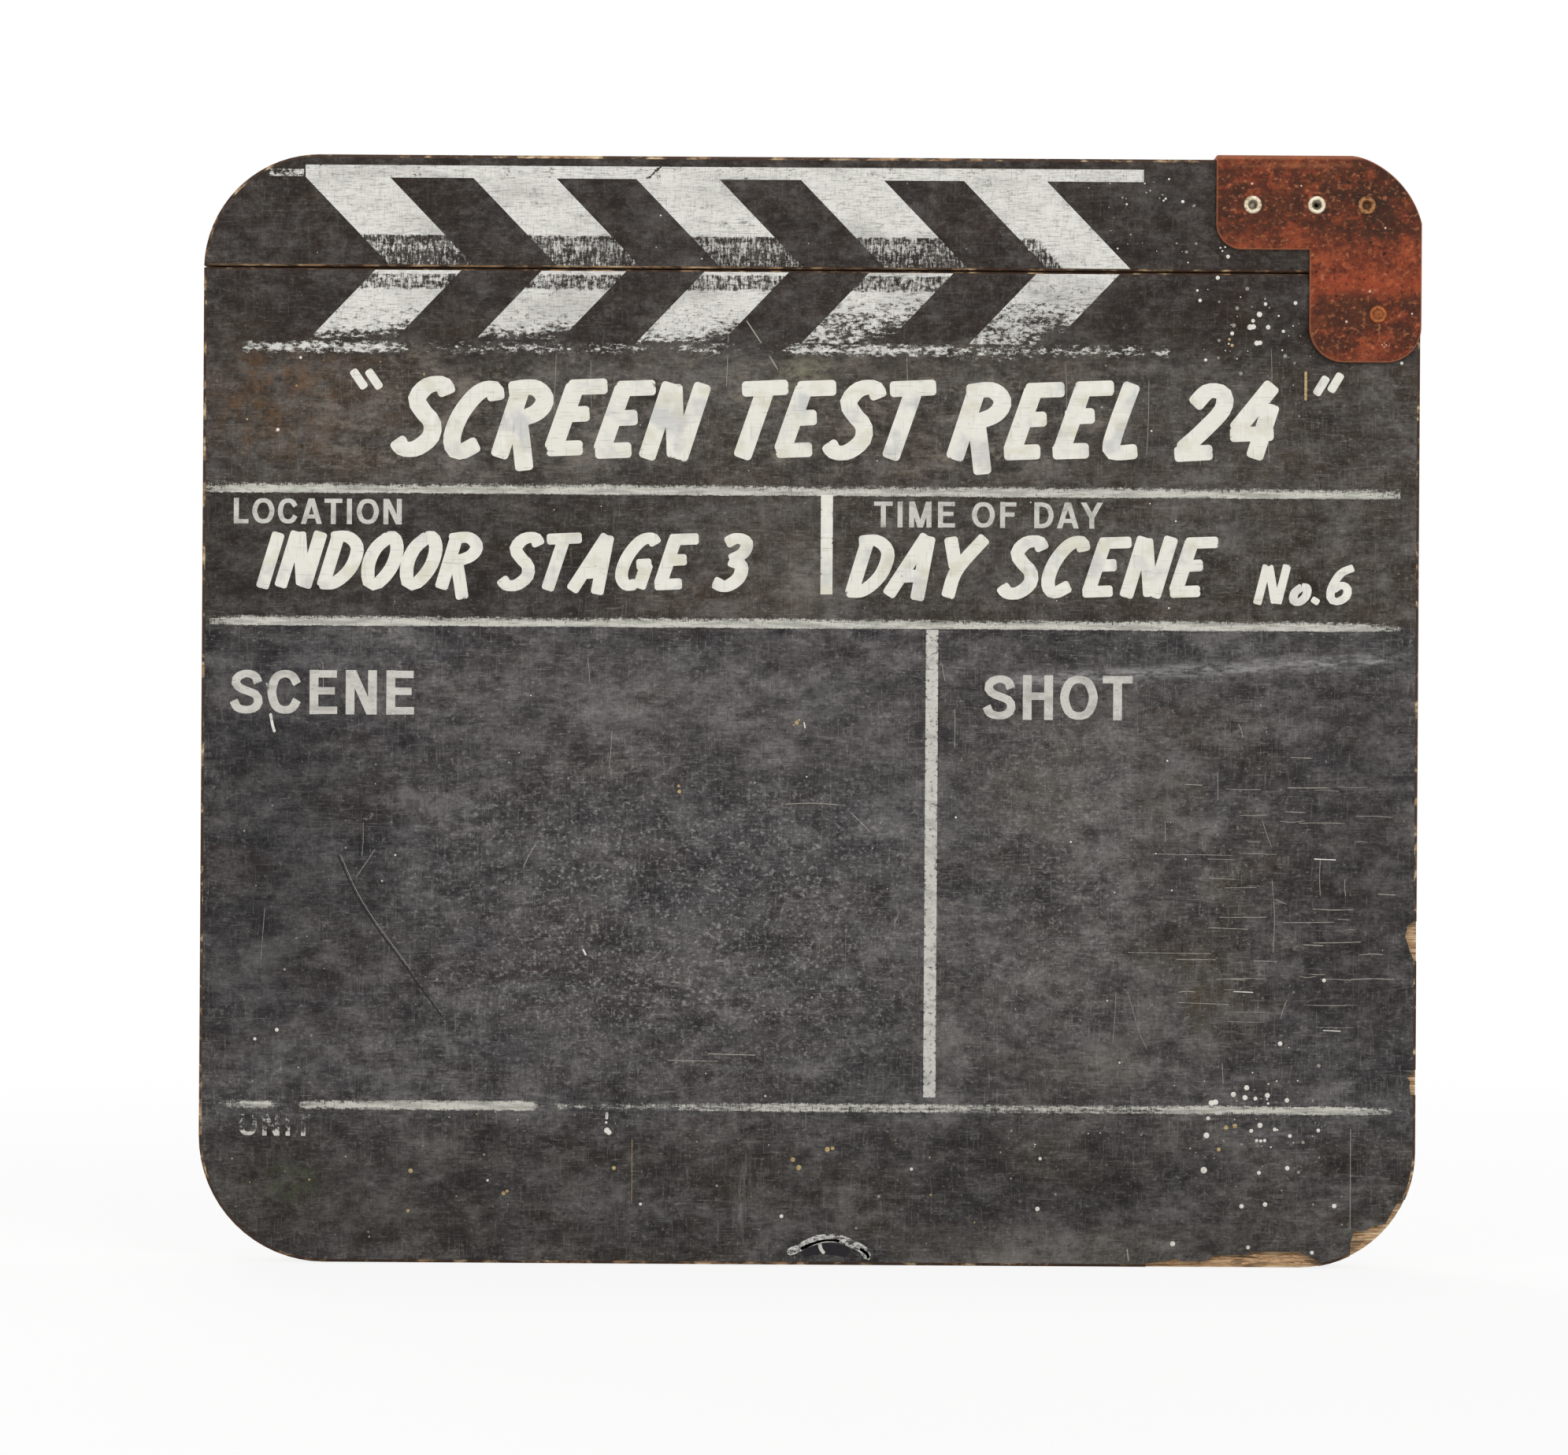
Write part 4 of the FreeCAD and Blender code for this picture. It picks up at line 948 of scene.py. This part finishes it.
# Fine scratches: short ones along the grain at the right, long ones up and down, and others any way
scratchParts = ("count", "x", "z", "length", "angle", "width")
scratches = [dict(zip(scratchParts, row)) for row in (
    (36, (92, 138), (60, 126), (3, 14), (-2, 2), (0.1, 0.24)),
    (10, (-140, 140), (50, 150), (4, 14), (86, 94), (0.08, 0.16)),
    (9, (-120, 140), (198, 222), (8, 20), (88, 92), (0.08, 0.14)),
    (12, (-140, 130), (46, 150), (3, 9), (20, 160), (0.1, 0.2)),
)]
scratchEnd = 147
# Single marks by their finish: each is its width, how much of it is left, and its path
marks = {
    "scores": [
        (0.34, 1, [(-118, 102), (-111.8, 89.3), (-100, 73), (-91.3, 61.3)]),
        (3.4, 1, [(-1.5, 3.4), (4, 4.2), (11, 3.4)]),
    ],
    "scratches": [
        (0.12, 1, [(-117.4, 102.3), (-111.2, 89.6), (-99.4, 73.3)]),
        (0.3, 1, [(-16.4, 236.4), (-11.8, 229.5), (-8.5, 224.2)]),
        (0.14, 1, [(136.1, 35), (136.1, 9.4)]),
        (0.12, 1, [(116.0, 97.5), (116.7, 88), (116.4, 79)]),
        (0.1, 1, [(80, 69), (83, 59), (85, 54.5)]),
        (0.3, 1, [(80.3, 4.6), (80.7, 1.6)]),
        (0.22, 1, [(-6.0, 115.4), (1.0, 115.7), (9.0, 115.2)]),
        (0.26, 1, [(-25.0, 52.8), (-13.0, 52.5)]),
        (0.22, 1, [(-35.0, 51.1), (-22.5, 50.9)]),
        (0.22, 1, [(120.5, 127.9), (126.0, 127.7)]),
        (0.22, 1, [(119.0, 114.3), (124.5, 114.1)]),
        (0.22, 1, [(94.0, 121.0), (98.5, 120.8)]),
        (0.14, 1, [(86.0, 103.5), (106.0, 103.3)]),
        (0.26, 1, [(124.0, 81.0), (129.0, 80.8)]),
        (0.16, 1, [(80.0, 78.8), (101.0, 78.6)]),
        (0.22, 1, [(105.5, 72.3), (109.5, 72.1)]),
        (0.22, 1, [(142.5, 93.8), (147.0, 93.6)]),
    ],
    "spots": [
        (0.45, 1, [(-55.6, 77.2), (-56.4, 78.8)]),
        (0.3, 1, [(-1.1, 134.4), (-1.4, 136.0)]),
        (0.3, 1, [(126.5, 102.5), (132.0, 102.3)]),
        (0.28, 1, [(106.5, 69.2), (111.5, 69.0)]),
        (0.26, 1, [(129.0, 59.6), (133.5, 59.4)]),
    ],
    "warmSpots": [
        (0.65, 1, [(123.7, 224.6), (123.7, 217.3)]),
        (0.1, 1, [(-43.8, 31.3), (-43.8, 15.1)]),
    ],
    "stripes": [
        (2.2, 0.6, [(-4.8, 3.0), (-2.2, 4.1), (1.4, 6.0), (4.8, 6.9), (8.6, 6.6),
                   (11.5, 5.3), (14.2, 4.0), (15.5, 1.7)]),
        (0.9, 0.95, [(-1.4, 4.0), (1.6, 5.3), (4.8, 6.1), (8.4, 6.1)]),
        (0.9, 0.95, [(3.3, 5.6), (3.6, 4.2), (4.5, 2.9)]),
        (0.8, 0.7, [(13.4, 4.2), (15.2, 2.9), (15.7, 1.4)]),
        (0.7, 0.95, [(-135.0, 137.4), (-134.5, 134.6), (-133.9, 132.6)]),
        (0.7, 0.7, [(-50.1, 38.0), (-50.2, 36.2)]),
        (0.5, 0.6, [(-134.6, 141.0), (-136.0, 145.0)]),
    ],
}


def scratchSheets():
    # thin strokes, each with a random start, length, angle and width, and its middle a little off the line
    sheets = []
    draw = np.random.default_rng(21)
    for group in scratches:
        for number in range(group["count"]):
            length, angle = draw.uniform(*group["length"]), math.radians(draw.uniform(*group["angle"]))
            start = np.array([draw.uniform(*group["x"]), draw.uniform(*group["z"])])
            end = start + length * np.array([math.cos(angle), math.sin(angle)])
            beyond = max(end[0] - scratchEnd, 0)
            start, end = start - (beyond, 0), end - (beyond, 0)
            middle = (start + end) / 2 + draw.normal(0, 0.15, 2)
            width = draw.uniform(*group["width"])
            path = smoothPath([start, middle, end])
            x, z, inward = strokeGrid(path, width, width * 0.45, across=2, along=10)
            sheets.append({"x": x, "z": z, "thickness": 0.02})
    return sheets


def markSheets(chosen, thickness):
    # a stroke along each mark's own path
    sheets = []
    for width, cover, path in chosen:
        x, z, inward = strokeGrid(smoothPath(path), width, width * 0.48, across=4, along=20)
        sheets.append({"x": x, "z": z, "cover": cover, "comb": 0.2, "thickness": thickness})
    return sheets


addFilms("faceScratches", scratchSheets(), materials["scratches"], "board", boardFront)
for finish in ("scores", "scratches", "spots", "warmSpots"):
    addFilms(finish + "Marks", markSheets(marks[finish], 0.03), materials[finish], "board", boardFront)
addFilms("chalkMarks", markSheets(marks["stripes"], 0.06), materials["stripes"], "board", boardFront)

# Torn fibres of the face veneer, left lying in the chips: each patch's x and z, and its fibres
chips = [
    {"x": (92, 127), "z": (0.9, 3.1), "count": 26, "length": (4, 11)},
    {"x": (87, 94), "z": (0.9, 1.7), "count": 5, "length": (2, 5)},
    {"x": (138, 146), "z": (7, 13.5), "count": 16, "length": (3, 6)},
    {"x": (149.9, 151.6), "z": (78.5, 85), "count": 5, "length": (1, 1.8)},
]


def insideOutline(point, margin=0.7, radius=29.0):
    # true if a point lies inside the round lower right corner, by its distance from the corner's centre
    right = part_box("board_face_veneer")[1].x / mm
    beyond = np.maximum(np.array([point[0] - (right - radius), radius - point[1]]), 0)
    return np.hypot(*beyond) < radius - margin and point[1] > margin and point[0] < right - margin


def fibreSheets():
    # short strokes nearly along the grain, strewn in each chip and left out where they pass the outline
    sheets = []
    tear = np.random.default_rng(31)
    for chip in chips:
        for number in range(chip["count"]):
            length = tear.uniform(*chip["length"])
            middle = np.array([tear.uniform(*chip["x"]), tear.uniform(*chip["z"])])
            lean = math.radians(tear.normal(0, 5))
            reach = length / 2 * np.array([math.cos(lean), math.sin(lean)])
            if not insideOutline(middle - reach) or not insideOutline(middle + reach):
                continue
            width = tear.uniform(0.25, 0.7)
            x, z, inward = strokeGrid(smoothPath([middle - reach, middle + reach]), width, width * 0.48,
                                      across=3, along=8)
            sheets.append({"x": x, "z": z, "thickness": tear.uniform(0.1, 0.5)})
    return sheets


addFilms("tornFibres", fibreSheets(), materials["fibres"], "board", chipFloor)
print("scratches and torn fibres laid")

# Rivets, turned finer than in the imported model: radii, the lip's and the head's height, the bore's depth
# and the painted shade on the bore's floor
rivets = {
    "stick_rivet_left": {"piece": "rolledRivetLeft", "material": "brass", "slot": "brass_rivet",
                         "bore": {"boreDepth": 0.9, "shade": 0.45}},
    "stick_rivet_middle": {"piece": "rolledRivetMiddle", "material": "brass", "slot": "brass_rivet",
                           "bore": {"throat": 0.45}},
    "stick_rivet_right": {"piece": "rolledRivetRight", "material": "rivet", "slot": "rusted_rivet",
                          "bore": {"boreDepth": 0.9, "shade": 0.4}},
}
rolledProfile = {"bore": 1.1, "throat": 0.6, "boreDepth": 4.0, "shade": 0.0, "rim": 2.3, "shank": 1.6,
                 "head": 2.9, "height": 0.7}
# The pivot's head: shares of its radius and of its height, and the painted shade there, darker in the struck
# ring and towards the rim
pivotProfile = {"head": 2.25, "shank": 2.0, "height": 0.6, "face": [
    (0.0, 0.9, 0.8), (0.4, 0.88, 0.7), (0.55, 0.72, 0.25), (0.68, 0.98, 1.0), (0.84, 1.0, 1.0),
    (0.95, 0.7, 0.6), (1.0, 0.3, 0.2)]}


def turnedSolid(centre, profile, shade, sides=48):
    # a half section turned about the y axis, with a single point at each pole; shade goes along with it
    profile, shade = np.array(profile, float), np.array(shade, float)
    turn = np.linspace(0, 2 * np.pi, sides, endpoint=False)
    radius, y = profile[1:-1, 0][:, None], profile[1:-1, 1][:, None]
    ringX, ringZ = centre[0] + radius * np.cos(turn), centre[1] + radius * np.sin(turn)
    rings = np.stack([ringX, y + 0 * turn, ringZ], -1)
    poles = np.array([(centre[0], profile[end][1], centre[1]) for end in (0, -1)])
    points = np.concatenate([rings.reshape(-1, 3), poles])
    index = np.arange(rings.shape[0] * sides).reshape(-1, sides)
    after = np.roll(index, -1, 1)
    quads = np.stack([index[:-1], index[1:], after[1:], after[:-1]], -1).reshape(-1, 4)
    first = np.stack([np.full(sides, len(points) - 2), index[0], after[0]], -1)
    last = np.stack([np.full(sides, len(points) - 1), after[-1], index[-1]], -1)
    values = np.concatenate([np.repeat(shade[1:-1], sides), [shade[0], shade[-1]]])
    return points, quads.tolist() + first.tolist() + last.tolist(), values


def rolledSection(spec):
    # from the floor of the bore up its funnel, over the rolled lip in an arc, down the shank, over the head;
    # each point's shade is painted shade, dark on the bore's floor and at both edges of the lip and light on
    # the lip's crest as a painted highlight
    lip = np.linspace(math.pi, 0, 10)
    middle, reach = (spec["bore"] + spec["rim"]) / 2, (spec["rim"] - spec["bore"]) / 2
    floor = cheekFront + spec["boreDepth"]
    section = [(0, floor, spec["shade"]), (spec["throat"], floor, spec["shade"]),
               (spec["throat"] + 0.1, cheekFront + 0.7, 0.25), (spec["bore"], cheekFront, 0.5)]
    section += [(middle + reach * math.cos(a), cheekFront - spec["height"] * math.sin(a) ** 0.8,
                 0.45 + 0.55 * math.sin(a)) for a in lip]
    section += [(spec["shank"], cheekFront + 0.1, 0.6), (spec["shank"], cheekBack - 0.1, 0.6)]
    dome = np.linspace(0, math.pi / 2, 8)
    section += [(spec["head"] * math.cos(a), cheekBack + spec["height"] * math.sin(a), 1.0) for a in dome]
    return section


def pivotSection(spec):
    # a low hammered head at each end of a solid shank, the front one with a ring struck into its face and
    # darkened there with painted shade
    head, height = spec["head"], spec["height"]
    section = [(head * out, cheekFront - height * up, shade) for out, up, shade in spec["face"]]
    section += [(spec["shank"], cheekFront + 0.1, 0.6), (spec["shank"], cheekBack - 0.1, 0.6)]
    section += [(head * out, cheekBack + height * up, 1.0) for out, up, shade in spec["face"][::-1]]
    return section


def addRivet(node, piece, section, material):
    # a section of radius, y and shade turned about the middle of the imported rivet, which it replaces
    low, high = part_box(node)
    centre = ((low.x + high.x) / 2 / mm, (low.z + high.z) / 2 / mm)
    profile = [(max(r, 0.0), y) for r, y, shade in section]
    points, faces, values = turnedSolid(centre, profile, [shade for r, y, shade in section])
    # the section's painted shade is stored in the attribute "cover"
    rivet = addPiece(piece, points, faces, material, "clapper", {"cover": values}, smooth=True)
    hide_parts(node)


for node, rivet in rivets.items():
    section = rolledSection({**rolledProfile, **rivet["bore"]})
    addRivet(node, rivet["piece"], section, materials[rivet["material"]])
addRivet("pivot_rivet", "hammeredPivot", pivotSection(pivotProfile), materials["pivot"])
print("rivets turned")

# The stage: a white floor that keeps a soft shadow, white beyond it, and soft lamps at a plain level
stage = {"floorRadius": 4.0, "floorColour": "#f2f2f0", "fade": (0.25, 0.9), "cameraWhite": 0.86,
         "skyLight": 0.4, "aim": (0, 0, 0.14)}
lamps = [
    {"name": "keyLamp", "place": (0.9, -1.7, 1.3), "size": 1.0, "watts": 15.2},
    {"name": "fillLamp", "place": (-1.3, -1.6, 0.7), "size": 1.2, "watts": 8.6},
    {"name": "topLamp", "place": (0.1, 0.2, 2.0), "size": 1.2, "watts": 8},
    {"name": "backLamp", "place": (-0.6, 1.9, 1.1), "size": 1.2, "watts": 20},
]


def seenDirectly(tree):
    # 1 for rays from the camera, and for those that metal or glass sends on, else 0
    path = addNode(tree, "LightPath")
    mirrored = mathNode(tree, "MAXIMUM", path.outputs["Is Glossy Ray"], path.outputs["Is Transmission Ray"])
    return mathNode(tree, "MAXIMUM", path.outputs["Is Camera Ray"], mirrored)


def makeFloor():
    # a disc of matt paper, seen from the camera as near white, and as pure white further out
    turn = np.linspace(0, 2 * np.pi, 64, endpoint=False)
    ring = np.stack([np.cos(turn), np.sin(turn), 0 * turn], -1) * stage["floorRadius"]
    ring[:, 2] = cadBox[0].z - 0.0002
    mesh = bpy.data.meshes.new("studioFloor")
    mesh.from_pydata(ring.tolist(), [], [list(range(len(ring)))])
    floor = addObject("studioFloor", mesh)
    material = bpy.data.materials.new("paperFloor")
    tree = emptyTree(material)
    matt = addNode(tree, "BsdfDiffuse", {"Color": linear(stage["floorColour"])})
    white = addNode(tree, "Emission", {"Color": (1, 1, 1, 1), "Strength": 1.0})
    away = addNode(tree, "VectorMath", {0: addNode(tree, "TexCoord").outputs["Object"]}, operation="LENGTH")
    paper = mapRange(tree, away.outputs["Value"], *stage["fade"], stage["cameraWhite"], eased=True)
    share = mathNode(tree, "MULTIPLY", seenDirectly(tree), paper)
    addNode(tree, "OutputMaterial", {"Surface": addNode(tree, "MixShader", {0: share, 1: matt, 2: white})})
    mesh.materials.append(material)


def makeSky():
    # pure white to the camera, and a weaker light on everything else
    world = bpy.data.worlds.new("paperSky")
    bpy.context.scene.world = world
    tree = emptyTree(world)
    strength = mapRange(tree, seenDirectly(tree), 0, 1, stage["skyLight"])
    sky = addNode(tree, "Background", {"Color": (1, 1, 1, 1), "Strength": strength})
    addNode(tree, "OutputWorld", {"Surface": sky})


def makeLamps():
    # square lamps, each turned to look at the middle of the board
    for spec in lamps:
        lamp = bpy.data.lights.new(spec["name"], "AREA")
        lamp.shape = "SQUARE"
        lamp.size = spec["size"]
        lamp.energy = spec["watts"]
        holder = addObject(spec["name"], lamp)
        holder.location = spec["place"]
        away = np.array(spec["place"]) - stage["aim"]
        pan = math.atan2(away[0], -away[1])
        tilt = math.atan2(math.hypot(away[0], away[1]), away[2])
        holder.rotation_euler = (tilt, 0, pan)


# The camera stands square to the face, and a trace of roll turns the board as it is in the photograph
view = {"place": (-0.0064, -1.2, 0.1346), "frameWidth": 392.6, "roll": 0.36}


def makeCamera():
    # the lens is as long as shows frameWidth millimetres of the board's face over the width of the image
    lens = bpy.data.cameras.new("viewCamera")
    camera = addObject("viewCamera", lens)
    distance = boardFront - view["place"][1] / mm
    lens.sensor_width = 36.0
    lens.lens = lens.sensor_width * distance / view["frameWidth"]
    camera.location = view["place"]
    camera.rotation_euler = (math.radians(90), math.radians(-view["roll"]), 0)
    bpy.context.scene.camera = camera


makeFloor()
makeSky()
makeLamps()
makeCamera()
bpy.context.scene.view_settings.view_transform = "Standard"
print("stage, lamps and camera set")
